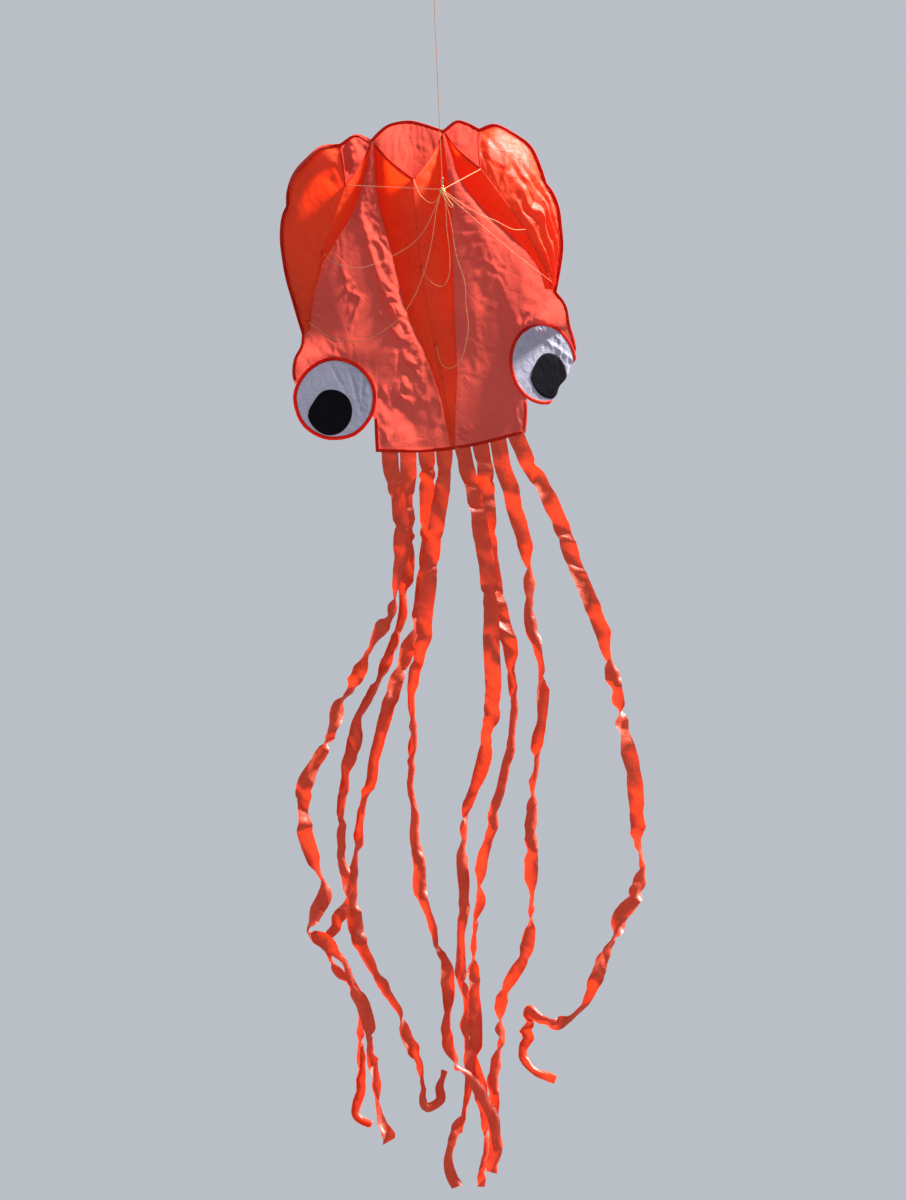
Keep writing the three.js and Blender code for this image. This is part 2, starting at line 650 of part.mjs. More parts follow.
function ribbonGeometry(order) {
  const place = order - (ribbonOrder.length - 1) / 2;
  const hemX = place * ribbonPitch + 2;
  const shiftX = hemX - (place * drawnPitch + 2);
  const route = ribbonRoutes[ribbonOrder[order]].map(([x, y, z]) => (
    vec(x + shiftX, y - 470 + bridleReach, z - drawnHem + hemZ)));
  const top = vec(hemX, bridleReach, hemAt(hemX) - sewingGap);
  const curve = new THREE.CatmullRomCurve3([top, ...route]);
  const points = hungStraight(curve.getSpacedPoints(ribbonSteps));
  const nearHem = ribbonWidth / 2;
  const widthWay = vec(ribbonWidth, 0, hemAt(hemX + nearHem) - hemAt(hemX - nearHem)).normalize();
  const rows = points.map((point, i) => {
    const before = points[Math.max(0, i - 1)];
    const after = points[Math.min(ribbonSteps, i + 1)];
    const along = after.clone().sub(before).normalize();
    if (i > 0) widthWay.addScaledVector(along, -widthWay.dot(along)).normalize();
    const into = point.clone().sub(before).normalize();
    const away = after.clone().sub(point).normalize();
    const bend = i > 0 && i < ribbonSteps ? into.angleTo(away) : 0;
    const radius = point.distanceTo(after) / Math.max(bend, 0.01);
    const width = clamp(gatherShare * radius, narrowestRibbon, ribbonWidth);
    const half = widthWay.clone().multiplyScalar((i === 0 ? ribbonWidth : width) / 2);
    return [point.clone().sub(half), point.clone().add(half)];
  });
  return sheetSolid(rows, ribbonThickness);
}

function addTentacles() {
  ribbonOrder.forEach((name, order) => {
    addPiece(`tentacle_${name}`, ribbonGeometry(order), cloth);
  });
}

// ---- tow point: knot, loop tail, swivel and the pulled line ----
function lathePiece(profile, segments = 16) {
  return new THREE.LatheGeometry(profile.map(([r, h]) => new THREE.Vector2(r, h)), segments);
}

function addTowPoint() {
  const knot = new THREE.SphereGeometry(knotRadius, 14, 10);
  addPiece("bridle_knot", knot, creamCord);
  const tail = [
    [4.5, -9.4], [11, -22], [19, -38], [23, -46], [20, -49], [15, -43], [7, -27], [0.5, -10.2],
  ];
  const tailPoints = tail.map(([x, z]) => vec(x, 0, z));
  addPiece("bridle_loop", lineTube(tailPoints, 20, loopDiameter), creamCord);

  const pulled = new THREE.Group();
  pulled.quaternion.setFromUnitVectors(vec(0, 1, 0), pullDirection);
  kite.add(pulled);
  const barrelRadius = swivelDiameter / 2;
  const boreRadius = barrelRadius - swivelWall;
  const stemRadius = swivelWire + 0.1;
  const mouthRadius = stemRadius + runningGap;
  const ringCentre = knotRadius + lineGap + swivelRing + swivelWire;
  const barrelStart = ringCentre + swivelRing + swivelWire + 1.4;
  const barrelEnd = barrelStart + swivelLength;
  const floorStart = barrelStart + 1.5;
  const floorEnd = barrelEnd - 1.5;
  addPiece("swivel_barrel", lathePiece([
    [mouthRadius, barrelStart], [barrelRadius - 0.6, barrelStart],
    [barrelRadius, barrelStart + 0.8], [barrelRadius, barrelEnd - 0.8],
    [barrelRadius - 0.6, barrelEnd], [mouthRadius, barrelEnd], [mouthRadius, floorEnd],
    [boreRadius, floorEnd], [boreRadius, floorStart], [mouthRadius, floorStart],
    [mouthRadius, barrelStart],
  ]), steel, pulled);
  const headStart = floorStart + runningGap;
  const headRadius = boreRadius - runningGap;
  const ringTop = ringCentre + swivelRing;
  const stem = lathePiece([
    [0, ringTop - 0.3], [stemRadius, ringTop - 0.3], [stemRadius, headStart],
    [headRadius, headStart], [headRadius, headStart + 1.6], [0, headStart + 1.6],
  ]);
  const ring = new THREE.TorusGeometry(swivelRing, swivelWire, 8, 24);
  ring.translate(0, ringCentre, 0);
  const lowerEye = fromManifold(toManifold(stem).add(toManifold(ring)));
  addPiece("swivel_lower_eye", lowerEye, steel, pulled);
  const middle = (barrelStart + barrelEnd) / 2;
  const upperEye = lowerEye.clone().translate(0, -middle, 0).rotateZ(Math.PI);
  upperEye.translate(0, middle, 0);
  addPiece("swivel_upper_eye", upperEye, steel, pulled);
  const ringEnd = 2 * middle - ringCentre + swivelRing + swivelWire;
  const bead = ringEnd + 0.4 + lineKnotRadius;
  const lineStart = bead + lineKnotRadius + 0.4;
  const lineKnot = new THREE.SphereGeometry(lineKnotRadius, 10, 8);
  addPiece("line_knot", lineKnot, cord, pulled).position.set(0, bead, 0);
  const flyingLine = lineTube([vec(0, lineStart, 0), vec(0, pulledLine, 0)], 1);
  addPiece("flying_line", flyingLine, cord, pulled);
  const endKnot = new THREE.SphereGeometry(endKnotRadius, 10, 8);
  addPiece("line_end_knot", endKnot, cord, pulled)
    .position.set(0, pulledLine + 0.4 + endKnotRadius, 0);
}

addBackSail();
addEdgeTapes();
addKeels();
for (const [name, side] of Object.entries(sides)) addEye(name, side);
addTentacles();
addTowPoint();

export default kite;
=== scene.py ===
import bisect
import math
import random

import bmesh
import bpy
from mathutils import Matrix, Vector, noise
from mathutils.kdtree import KDTree


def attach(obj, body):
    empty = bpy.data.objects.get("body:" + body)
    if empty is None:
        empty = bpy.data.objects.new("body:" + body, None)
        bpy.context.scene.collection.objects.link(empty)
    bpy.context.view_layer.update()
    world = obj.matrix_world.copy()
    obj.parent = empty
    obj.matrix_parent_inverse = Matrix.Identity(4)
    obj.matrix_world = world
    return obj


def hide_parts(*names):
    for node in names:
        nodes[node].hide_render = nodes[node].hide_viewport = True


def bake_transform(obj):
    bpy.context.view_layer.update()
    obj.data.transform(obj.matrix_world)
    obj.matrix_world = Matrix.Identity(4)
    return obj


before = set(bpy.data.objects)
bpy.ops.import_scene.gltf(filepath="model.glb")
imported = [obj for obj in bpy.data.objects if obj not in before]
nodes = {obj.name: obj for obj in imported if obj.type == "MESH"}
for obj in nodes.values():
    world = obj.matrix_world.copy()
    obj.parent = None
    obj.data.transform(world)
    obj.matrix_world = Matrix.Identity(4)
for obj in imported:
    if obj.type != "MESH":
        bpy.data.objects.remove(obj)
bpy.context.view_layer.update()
world = bpy.context.scene

# Shapes are worked out in millimetres, with +Z up the kite and its belly facing -Y.
# They become metres when a piece is finished.
perMetre = 1000.0


def mix(a, b, share):
    return a + (b - a) * share


def clamp(value, low=0.0, high=1.0):
    return min(high, max(low, value))


def smoothstep(value, low, high):
    t = clamp((value - low) / (high - low))
    return t * t * (3 - 2 * t)


def zigzag(turns):
    # a triangle wave from -1 to 1
    return 1 - 4 * abs(turns % 1 - 0.5)


def keyed(keys, at):
    # keys are (place, value, ...) rows; the values between them are eased
    if at <= keys[0][0]:
        return keys[0][1:]
    for a, b in zip(keys, keys[1:]):
        if at <= b[0]:
            t = smoothstep(at, a[0], b[0])
            return tuple(mix(p, q, t) for p, q in zip(a[1:], b[1:]))
    return keys[-1][1:]


def lengthsAlong(points):
    found = [0.0]
    for a, b in zip(points, points[1:]):
        found.append(found[-1] + (b - a).length)
    return found


class Spline:
    # A centripetal spline through points, followed at equal steps of its length.
    perSpan = 24

    def __init__(self, points):
        self.points = [Vector(p) for p in points]
        spans = (len(points) - 1) * self.perSpan
        self.fine = [self.at(i / spans) for i in range(spans + 1)]
        self.lengths = lengthsAlong(self.fine)
        self.length = self.lengths[-1]

    def at(self, t):
        points, last = self.points, len(self.points) - 1
        i = min(int(last * t), last - 1)
        w = last * t - i
        p1, p2 = points[i], points[i + 1]
        p0 = points[i - 1] if i > 0 else p1 * 2 - p2
        p3 = points[i + 2] if i + 2 <= last else p2 * 2 - p1
        d0, d1, d2 = [max((q - p).length, 1e-6) ** 0.5
                      for p, q in ((p0, p1), (p1, p2), (p2, p3))]
        t1 = ((p1 - p0) / d0 - (p2 - p0) / (d0 + d1) + (p2 - p1) / d1) * d1
        t2 = ((p2 - p1) / d1 - (p3 - p1) / (d1 + d2) + (p3 - p2) / d2) * d1
        return (p1 + t1 * w + (p2 * 3 - p1 * 3 - t1 * 2 - t2) * w * w
                + (p1 * 2 - p2 * 2 + t1 + t2) * w ** 3)

    def placeOf(self, index):
        # the share of the length at which a point, whole or between two, is met
        return self.lengths[int(round(index * self.perSpan))] / self.length

    def point(self, share):
        wanted = clamp(share) * self.length
        i = min(max(bisect.bisect_left(self.lengths, wanted), 1), len(self.lengths) - 1)
        low, high = self.lengths[i - 1], self.lengths[i]
        return self.fine[i - 1].lerp(self.fine[i], (wanted - low) / max(high - low, 1e-9))

    def tangent(self, share):
        return (self.point(min(1, share + 0.002)) - self.point(max(0, share - 0.002))).normalized()

    def spaced(self, steps):
        return [self.point(i / steps) for i in range(steps + 1)]


def flatSpline(points, steps):
    return [(p.x, p.z) for p in Spline([(x, 0, z) for x, z in points]).spaced(steps)]


# ---- camera, far off with a long lens so that the view has hardly any perspective ----
view = {
    "across": Vector((0.990, -0.139, 0)), "forward": Vector((0.139, 0.990, 0)),
    "roll": (0.99144, 0.13053), "centreAcross": -0.1194, "centreUp": -1.146,
    "depth": 0.40, "distance": 45.0, "height": 3.408, "sensor": 36, "farthest": 200,
}


def addCamera():
    lens = bpy.data.cameras.new("camera")
    camera = bpy.data.objects.new("camera", lens)
    world.collection.objects.link(camera)
    up = Vector((0, 0, 1))
    c, s = view["roll"]
    right = view["across"] * c - up * s
    top = view["across"] * s + up * c
    aim = view["across"] * view["centreAcross"] + up * view["centreUp"]
    aim += view["forward"] * view["depth"]
    place = aim - view["forward"] * view["distance"]
    camera.matrix_world = Matrix.Translation(place) @ Matrix(
        (right, top, -view["forward"])).transposed().to_4x4()
    lens.sensor_width = view["sensor"]
    lens.lens = view["sensor"] * view["distance"] / view["height"]
    lens.clip_end = view["farthest"]
    world.camera = camera


addCamera()
print("camera placed")


# ---- materials ----
def startMaterial(name):
    # an empty material, and the function that adds a node with its inputs and settings
    material = bpy.data.materials.new(name)
    material.use_nodes = True
    tree = material.node_tree
    tree.nodes.clear()

    def add(kind, inputs=None, **settings):
        made = tree.nodes.new(kind)
        for key, value in settings.items():
            setattr(made, key, value)
        for key, value in (inputs or {}).items():
            if isinstance(value, bpy.types.NodeSocket):
                tree.links.new(value, made.inputs[key])
            else:
                made.inputs[key].default_value = value
        return made

    return material, add


def endMaterial(material, add, face, passes=0.0, glow=None):
    # glow is the light that passes through thin cloth
    shader = face.outputs[0]
    if glow:
        behind = add("ShaderNodeBsdfTranslucent", glow).outputs[0]
        shader = add("ShaderNodeMixShader", {0: passes, 1: shader, 2: behind}).outputs[0]
    add("ShaderNodeOutputMaterial", {"Surface": shader})
    return material


def spread(add, value, low, high, fromLow=0.3, fromHigh=0.7):
    return add("ShaderNodeMapRange", {
        "Value": value, "From Min": fromLow, "From Max": fromHigh,
        "To Min": low, "To Max": high}).outputs["Result"]


def work(add, how, *values):
    return add("ShaderNodeMath", dict(enumerate(values)), operation=how).outputs[0]


def tint(add, base, other, share):
    inputs = {0: share}
    for key, value in ((6, base), (7, other)):
        inputs[key] = value if isinstance(value, bpy.types.NodeSocket) else (*value, 1)
    return add("ShaderNodeMix", inputs, data_type="RGBA").outputs[2]


def bands(add, places, scale, way, distortion=0.0, detail=2.0):
    return add("ShaderNodeTexWave", {
        "Vector": places, "Scale": scale, "Distortion": distortion, "Detail": detail},
        wave_type="BANDS", bands_direction=way).outputs["Fac"]


def specks(add, places, scale, detail, roughness=0.5):
    return add("ShaderNodeTexNoise", {
        "Vector": places, "Scale": scale, "Detail": detail, "Roughness": roughness}).outputs["Fac"]


def relief(add, *layers):
    # layers of height, each laid over the last, with its strength and its depth in metres
    under = {}
    for height, strength, depth in layers:
        bump = add("ShaderNodeBump", {
            "Height": height, "Strength": strength, "Distance": depth, **under})
        under = {"Normal": bump.outputs["Normal"]}
    return under["Normal"]


def clothMaterial(name, look):
    # Ripstop nylon: fine threads, thicker threads in a grid, faint creases with painted shade
    # darkening their lines, and light that shows through from behind.
    material, add = startMaterial(name)
    places = add("ShaderNodeTexCoord").outputs
    cloth, solid = places["UV"], places["Object"]
    weave = work(add, "MULTIPLY", *[
        bands(add, cloth, look["threads"], way, 0.4, 1.0) for way in "XY"])
    grid = work(add, "MAXIMUM", *[
        spread(add, bands(add, cloth, look["grid"], way), 0, 1, 0.90, 0.99) for way in "XY"])
    broad = specks(add, solid, look["broad"], 3.0, 0.55)
    fine = specks(add, solid, look["fine"], 5.0, 0.65)
    creases = add("ShaderNodeTexVoronoi", {"Vector": solid, "Scale": look["creases"]},
                  feature="DISTANCE_TO_EDGE").outputs["Distance"]
    folds = spread(add, creases, 1, 0, 0.0, 0.06)
    colour = tint(add, look["colour"], look["deep"], spread(add, broad, 0, 0.8))
    colour = tint(add, colour, look["pale"], spread(add, fine, 0, 0.35))
    colour = tint(add, colour, look["pale"], work(add, "MULTIPLY", grid, 0.16))
    # painted shade: the colour is darkened along the crease lines
    colour = tint(add, colour, look["deep"], work(add, "MULTIPLY", folds, 0.06))
    normal = relief(add, (weave, 0.25, 0.00012), (grid, 0.35, 0.0002),
                    (fine, look["wrinkle"], 0.0035), (folds, 0.3, 0.0012))
    face = add("ShaderNodeBsdfPrincipled", {
        "Base Color": colour, "Normal": normal,
        "Roughness": spread(add, fine, look["rough"] - 0.07, look["rough"] + 0.09),
        "Specular IOR Level": look["gloss"], "Sheen Weight": look["sheen"],
        "Sheen Roughness": 0.4, "Sheen Tint": (*look["pale"], 1)})
    through = tint(add, look["through"], look["deep"], spread(add, broad, 0, 0.45))
    return endMaterial(material, add, face, look["passes"], {"Color": through, "Normal": normal})


def tapeMaterial(name, look):
    # Binding tape: ribbed across, a row of stitches near each edge, and dirt.
    material, add = startMaterial(name)
    places = add("ShaderNodeTexCoord").outputs
    parts = add("ShaderNodeSeparateXYZ", {"Vector": places["UV"]}).outputs
    ribs = bands(add, places["UV"], 180.0, "X", 0.6)
    beat = work(add, "PINGPONG", parts["X"], look["stitch"])
    beat = spread(add, beat, 0, 1, look["stitch"] * 0.3, look["stitch"] * 0.42)
    rows = []
    for row in look["rows"]:
        off = work(add, "ABSOLUTE", work(add, "SUBTRACT", parts["Y"], row))
        rows.append(spread(add, off, 1, 0, 0.025, 0.06))
    stitches = work(add, "MULTIPLY", work(add, "MAXIMUM", *rows), beat)
    dirt = specks(add, places["Object"], 26.0, 5.0)
    colour = tint(add, look["colour"], look["deep"], spread(add, dirt, 0, 0.9))
    colour = tint(add, colour, look["pale"], work(add, "MULTIPLY", ribs, 0.14))
    colour = tint(add, colour, look["thread"], stitches)
    face = add("ShaderNodeBsdfPrincipled", {
        "Base Color": colour, "Roughness": spread(add, dirt, 0.55, 0.78),
        "Normal": relief(add, (ribs, 0.4, 0.0003), (stitches, 0.8, 0.0006)),
        "Specular IOR Level": 0.2})
    return endMaterial(material, add, face, look["passes"], {"Color": (*look["through"], 1)})


def cordMaterial(name, look):
    # Twisted line: the strands wind round it, with fluff and darker places.
    material, add = startMaterial(name)
    solid = add("ShaderNodeTexCoord").outputs["Object"]
    strands = bands(add, solid, look["strands"], "DIAGONAL", 1.5)
    fluff, worn = specks(add, solid, 420.0, 4.0), specks(add, solid, 9.0, 2.0)
    colour = tint(add, look["colour"], look["deep"], spread(add, strands, 0.55, 0))
    colour = tint(add, colour, look["pale"], spread(add, worn, 0, 0.5))
    colour = tint(add, colour, look["deep"], spread(add, fluff, 0, 0.3))
    return endMaterial(material, add, add("ShaderNodeBsdfPrincipled", {
        "Base Color": colour, "Roughness": spread(add, fluff, 0.6, 0.85),
        "Normal": relief(add, (strands, 0.6, 0.0004), (fluff, 0.4, 0.0002)),
        "Specular IOR Level": 0.25, "Sheen Weight": 0.3}))


def metalMaterial(name, look):
    # Blackened brass: turning marks, and worn edges where the dark coat has rubbed off.
    material, add = startMaterial(name)
    solid = add("ShaderNodeTexCoord").outputs["Object"]
    marks, patches = specks(add, solid, 900.0, 4.0), specks(add, solid, 260.0, 5.0)
    worn = spread(add, add("ShaderNodeNewGeometry").outputs["Pointiness"], 0, 0.8, 0.52, 0.60)
    colour = tint(add, look["colour"], look["deep"], spread(add, patches, 0, 1))
    colour = tint(add, colour, look["pale"], worn)
    return endMaterial(material, add, add("ShaderNodeBsdfPrincipled", {
        "Base Color": colour, "Metallic": 1.0, "Roughness": spread(add, patches, 0.28, 0.5),
        "Normal": relief(add, (marks, 0.3, 0.0001))}))


# Colours are linear.
ripstop = {"threads": 900.0, "grid": 31.4, "broad": 5.0, "fine": 55.0, "creases": 16.0,
           "rough": 0.42, "wrinkle": 0.30, "passes": 0.42, "gloss": 0.35, "sheen": 0.10}
looks = {
    # the sail is the same orange-red nylon as the keels; its darker coral-pink colour is painted shade
    # and painted blue sky light
    "sail": clothMaterial("sail_cloth", {
        **ripstop, "colour": (0.58, 0.054, 0.046), "deep": (0.47, 0.036, 0.038),
        "pale": (0.74, 0.11, 0.080), "through": (0.86, 0.105, 0.066), "passes": 0.50,
        "gloss": 0.5}),
    "keel": clothMaterial("keel_cloth", {
        **ripstop, "colour": (0.88, 0.085, 0.015), "deep": (0.70, 0.038, 0.006),
        "pale": (0.90, 0.16, 0.05), "through": (1.0, 0.035, 0.003), "wrinkle": 0.22,
        "passes": 0.48, "gloss": 0.3, "sheen": 0.03, "rough": 0.5}),
    "ribbon": clothMaterial("ribbon_cloth", {
        **ripstop, "colour": (0.62, 0.055, 0.016), "deep": (0.46, 0.022, 0.009),
        "pale": (0.84, 0.15, 0.05), "through": (0.92, 0.045, 0.006), "broad": 12.0,
        "creases": 30.0, "passes": 0.36, "gloss": 0.6}),
    # painted shade: the white cloth is coloured a dark blue-grey, as white cloth looks in blue shade
    "white": clothMaterial("eye_white", {
        **ripstop, "colour": (0.34, 0.335, 0.45), "deep": (0.24, 0.24, 0.35),
        "pale": (0.62, 0.61, 0.70), "through": (0.34, 0.33, 0.43), "passes": 0.14,
        "broad": 14.0, "creases": 28.0}),
    "black": clothMaterial("eye_black", {
        **ripstop, "colour": (0.0075, 0.007, 0.0095), "deep": (0.004, 0.004, 0.006),
        "pale": (0.012, 0.011, 0.015), "through": (0.01, 0.008, 0.01), "passes": 0.05,
        "broad": 20.0, "creases": 30.0, "gloss": 0.03, "sheen": 0.0, "rough": 0.8}),
    "tape": tapeMaterial("binding_tape", {
        "colour": (0.72, 0.026, 0.006), "deep": (0.54, 0.012, 0.003), "pale": (0.84, 0.07, 0.02),
        "thread": (0.40, 0.008, 0.004), "through": (1.0, 0.045, 0.008), "stitch": 0.0032,
        "rows": (0.22, 0.78), "passes": 0.48}),
    "line": cordMaterial("bridle_line", {
        "colour": (0.76, 0.25, 0.09), "deep": (0.50, 0.11, 0.035), "pale": (0.88, 0.44, 0.21),
        "strands": 300.0}),
    "cream": cordMaterial("loop_cord", {
        "colour": (0.86, 0.54, 0.17), "deep": (0.56, 0.28, 0.06), "pale": (0.98, 0.78, 0.40),
        "strands": 260.0}),
    "metal": metalMaterial("swivel_metal", {
        "colour": (0.10, 0.10, 0.11), "deep": (0.035, 0.035, 0.04), "pale": (0.62, 0.50, 0.30)}),
}
print("materials mixed")


# ---- making and finishing pieces ----
def finishPiece(bm, name, finish, body="kite", stands=()):
    bmesh.ops.scale(bm, vec=(1 / perMetre,) * 3, verts=bm.verts)
    mesh = bpy.data.meshes.new(name)
    bm.to_mesh(mesh)
    bm.free()
    for face in mesh.polygons:
        face.use_smooth = True
    piece = bpy.data.objects.new(name, mesh)
    world.collection.objects.link(piece)
    mesh.materials.append(looks[finish])
    if stands:
        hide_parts(*stands)
    if body:
        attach(piece, body)
    return piece


def thicken(piece, thickness, offset=-1):
    wall = piece.modifiers.new("thickness", "SOLIDIFY")
    wall.thickness = thickness
    wall.offset = offset


def closeSeams(bm, distance, capped=False):
    # joins a sheet's meeting edges, for a ring or a closed tube
    bmesh.ops.remove_doubles(bm, verts=bm.verts, dist=distance)
    if capped:
        bmesh.ops.holes_fill(bm, edges=bm.edges, sides=12)
    bmesh.ops.recalc_face_normals(bm, faces=bm.faces)


def cutIntoCells(bm, axis, low, high, cell, nearest):
    normal = Vector([float(i == axis) for i in range(3)])
    for i in range(1, int((high - low) / cell)):
        bmesh.ops.bisect_plane(bm, geom=bm.verts[:] + bm.edges[:] + bm.faces[:], dist=nearest,
                               plane_co=normal * (low + i * cell), plane_no=normal)


def mapFlat(bm, up):
    # the UV map is the flat cloth in metres; up is the axis that runs up it
    layer = bm.loops.layers.uv.new("cloth")
    for face in bm.faces:
        for loop in face.loops:
            loop[layer].uv = (loop.vert.co.x / perMetre, loop.vert.co[up] / perMetre)


def gridSheet(columns, rows, size, place):
    # A grid of cloth, columns across (u) and rows along (v), laid out by place(u, v). Its UV
    # map is in metres of flat cloth, so the weave keeps its scale.
    bm = bmesh.new()
    layer = bm.loops.layers.uv.new("cloth")
    bmesh.ops.create_grid(bm, x_segments=columns, y_segments=rows, size=0.5)
    shares = {vert: (vert.co.x + 0.5, vert.co.y + 0.5) for vert in bm.verts}
    for face in bm.faces:
        for loop in face.loops:
            u, v = shares[loop.vert]
            loop[layer].uv = (u * size[0] / perMetre, v * size[1] / perMetre)
    for vert, (u, v) in shares.items():
        vert.co = place(u, v)
    return bm


def meshArea(piece):
    return sum(face.area for face in piece.data.polygons)


def faceTowards(piece, way):
    # turns the piece's faces over if most of them look away from a direction
    total = sum(face.normal.dot(Vector(way)) * face.area for face in piece.data.polygons)
    if total < 0:
        piece.data.flip_normals()


nylon = {  # how the cloth stretches and swings in the wind
    "quality": 5, "mass": 0.06, "tension_stiffness": 12, "compression_stiffness": 6,
    "shear_stiffness": 4, "air_damping": 2,
}


def fillWithWind(piece, pinned, wind):
    # Cloth held at its seams and blown full: settles it, limits how far any point goes, and
    # keeps the result as the mesh.
    group = piece.vertex_groups.new(name="sewn")
    group.add(pinned, 1.0, "REPLACE")
    world.gravity = Vector(wind["way"]).normalized() * wind["strength"]
    cloth = piece.modifiers.new("wind", "CLOTH")
    for key, value in nylon.items():
        setattr(cloth.settings, key, value)
    cloth.settings.bending_stiffness = wind["stiff"]
    cloth.settings.vertex_group_mass = group.name
    cloth.settings.shrink_min = -wind["slack"]
    cloth.collision_settings.use_collision = False
    cloth.collision_settings.use_self_collision = False
    cloth.point_cache.frame_start = 1
    cloth.point_cache.frame_end = wind["frames"]
    rest = [vert.co.copy() for vert in piece.data.vertices]
    for step in range(1, wind["frames"] + 1):
        world.frame_set(step)
    graph = bpy.context.evaluated_depsgraph_get()
    settled = [vert.co.copy() for vert in piece.evaluated_get(graph).data.vertices]
    piece.modifiers.remove(cloth)
    piece.vertex_groups.remove(group)
    world.frame_set(1)
    cap = wind["cap"] / perMetre
    for vert, was, now in zip(piece.data.vertices, rest, settled):
        move = now - was
        far = move.length
        vert.co = was + move * (cap * math.tanh(far / cap) / far if far > 1e-9 else 1)
    piece.data.update()
    world.gravity = (0, 0, -9.81)


# ---- the head's outlines, x and z. A ridge's third number is its share of the keel's depth ----
head = {
    "reach": 470.0, "keelDepth": 130.0, "hem": -700.0, "hemDip": 22.0, "hemEnds": (-220.0, 215.0),
    "tape": 9.0, "seamLift": 5.0,
    "billow": 12.0, "billowSpan": 200.0, "noseCurl": 30.0, "noseFrom": 60, "noseHeight": 140,
    "sideCurl": 25.0, "sideFrom": 280, "sideWidth": 120,
    "cheekStart": 200.0, "cheekTop": (-420, -330), "turn": {-1: 0.14, 1: 0.53},
}
nose = [(-118, 183), (-92, 204), (-66, 218), (-7, 221), (41, 205), (90, 183)]
sides = {
    "left": {
        "sign": -1, "crest": [(-163, 202)], "crestEnd": (-210, 181),
        "lobe": [(-264, 182), (-305, 157), (-352, 116), (-379, 65), (-386, 25)],
        "flank": [(-402, 0), (-416, -59), (-418, -126), (-415, -183), (-406, -243), (-397, -300)],
        "waist": (-389, -343),
        "cheek": [(-394, -373), (-415, -409), (-424, -461), (-400, -520), (-300, -570)],
        "chin": [(-212, -608), (-216, -650), (-220, -700)],
        "seam": [(-120, 176), (-149, 82), (-196, -13), (-244, -75), (-301, -141), (-328, -195),
                 (-354, -282), (-364, -332)],
        "ridge": [(-223, 63, 1), (-311, -123, 0.754), (-371, -310, 0.308), (-375, -336, 0.22)],
        "eye": (-315, -535), "pupilOff": (-0.16, -0.3),
    },
    "right": {
        "sign": 1, "crest": [(131, 205), (163, 193)], "crestEnd": (192, 174),
        "lobe": [(237, 182), (294, 149), (337, 107), (356, 50), (366, -5)],
        "flank": [(380, -31), (391, -76), (391, -144), (388, -191), (372, -256)],
        "waist": (354, -315),
        "cheek": [(381, -363), (398, -420), (405, -480), (380, -530), (310, -575)],
        "chin": [(232, -612), (226, -655), (215, -700)],
        "seam": [(93, 176), (130, 26), (175, -48), (234, -125), (283, -185), (315, -245),
                 (325, -302)],
        "ridge": [(163, 60, 1), (272, -130, 0.754), (336, -286, 0.308), (336, -308, 0.22)],
        "eye": (297, -511), "pupilOff": (0.1, -0.3),
    },
}
centreKeel = {
    "left": [(-112, 172), (-118, 11), (-98, -147), (-80, -304), (-42, -445), (-14, -578), (-9, -650),
             (-5, -712)],
    "right": [(86, 172), (87, -16), (69, -203), (55, -336), (39, -503), (22, -603), (14, -650),
              (6, -712)],
    "ridge": [(-31, 55, 1), (-36, -198, 0.754), (-17, -421, 0.308), (1, -660, 0.08), (1, -712, 0.05)],
}


def sailDepth(x, z):
    cheek = 1 - smoothstep(z, *head["cheekTop"])
    wave = math.sin(math.pi * x / head["billowSpan"]) ** 2
    side = clamp((abs(x) - head["sideFrom"]) / head["sideWidth"]) ** 2
    top = clamp((z - head["noseFrom"]) / head["noseHeight"], 0, 1.2) ** 2
    turn = head["turn"][-1 if x < 0 else 1]
    return (head["reach"] + head["billow"] * wave * (1 - cheek)
            - head["sideCurl"] * side * (1 - cheek) - head["noseCurl"] * top
            + cheek * turn * max(0, abs(x) - head["cheekStart"]))


def onSail(x, z, lift=0.0):
    return Vector((x, sailDepth(x, z) - lift, z))


def hemAt(x):
    # the hem sags between its corners
    left, right = head["hemEnds"]
    return head["hem"] - head["hemDip"] * math.sin(math.pi * clamp((x - left) / (right - left)))


# ---- the bridle: nine slack lines from the ridges' tabs to the knot ----
bridle = {
    "line": 2.0, "knotRadius": 8.0, "spacing": 4.5, "gap": 1.0, "tabLength": 11.0, "tabGap": 3.0,
    "loop": 2.4, "steps": 90,
}
slackRoutes = {
    "left": [
        [],
        [(-21, 47, -44), (-55, 105, -106), (-94, 149, -140), (-139, 191, -160), (-183, 230, -174),
         (-220, 262, -180), (-256, 294, -172), (-290, 327, -152)],
        [(-18, 41, -50), (-37, 99, -141), (-64, 155, -225), (-100, 204, -294), (-142, 245, -342),
         (-201, 289, -374), (-240, 316, -385), (-278, 341, -380), (-318, 370, -363)],
    ],
    "centre": [
        [(-6, 55, -17), (-20, 111, -28), (-35, 204, 1), (-35, 280, 37)],
        [(7, 26, -19), (14, 112, -107), (22, 179, -175), (19, 244, -240), (3, 273, -262),
         (-20, 302, -248), (-32, 332, -223)],
        [(18, 54, -69), (34, 132, -184), (55, 184, -260), (56, 229, -327), (61, 266, -381),
         (51, 301, -432), (37, 331, -472), (10, 356, -493), (-10, 371, -485), (-17, 388, -456)],
    ],
    "right": [
        [],
        [(61, 92, -39), (115, 165, -72), (177, 244, -99), (231, 313, -126)],
        [(193, 232, -173)],
    ],
}
heights = ["top", "middle", "low"]


def cordCurve(name, points, diameter):
    # a round cord as one open curve; points are in millimetres
    curve = bpy.data.curves.new(name, "CURVE")
    curve.dimensions = "3D"
    curve.bevel_depth = diameter / 2 / perMetre
    curve.bevel_resolution = 3
    curve.use_fill_caps = True
    line = curve.splines.new("POLY")
    line.points.add(len(points) - 1)
    for point, place in zip(line.points, points):
        point.co = (*(place / perMetre), 1)
    cord = bpy.data.objects.new(name, curve)
    world.collection.objects.link(cord)
    return cord


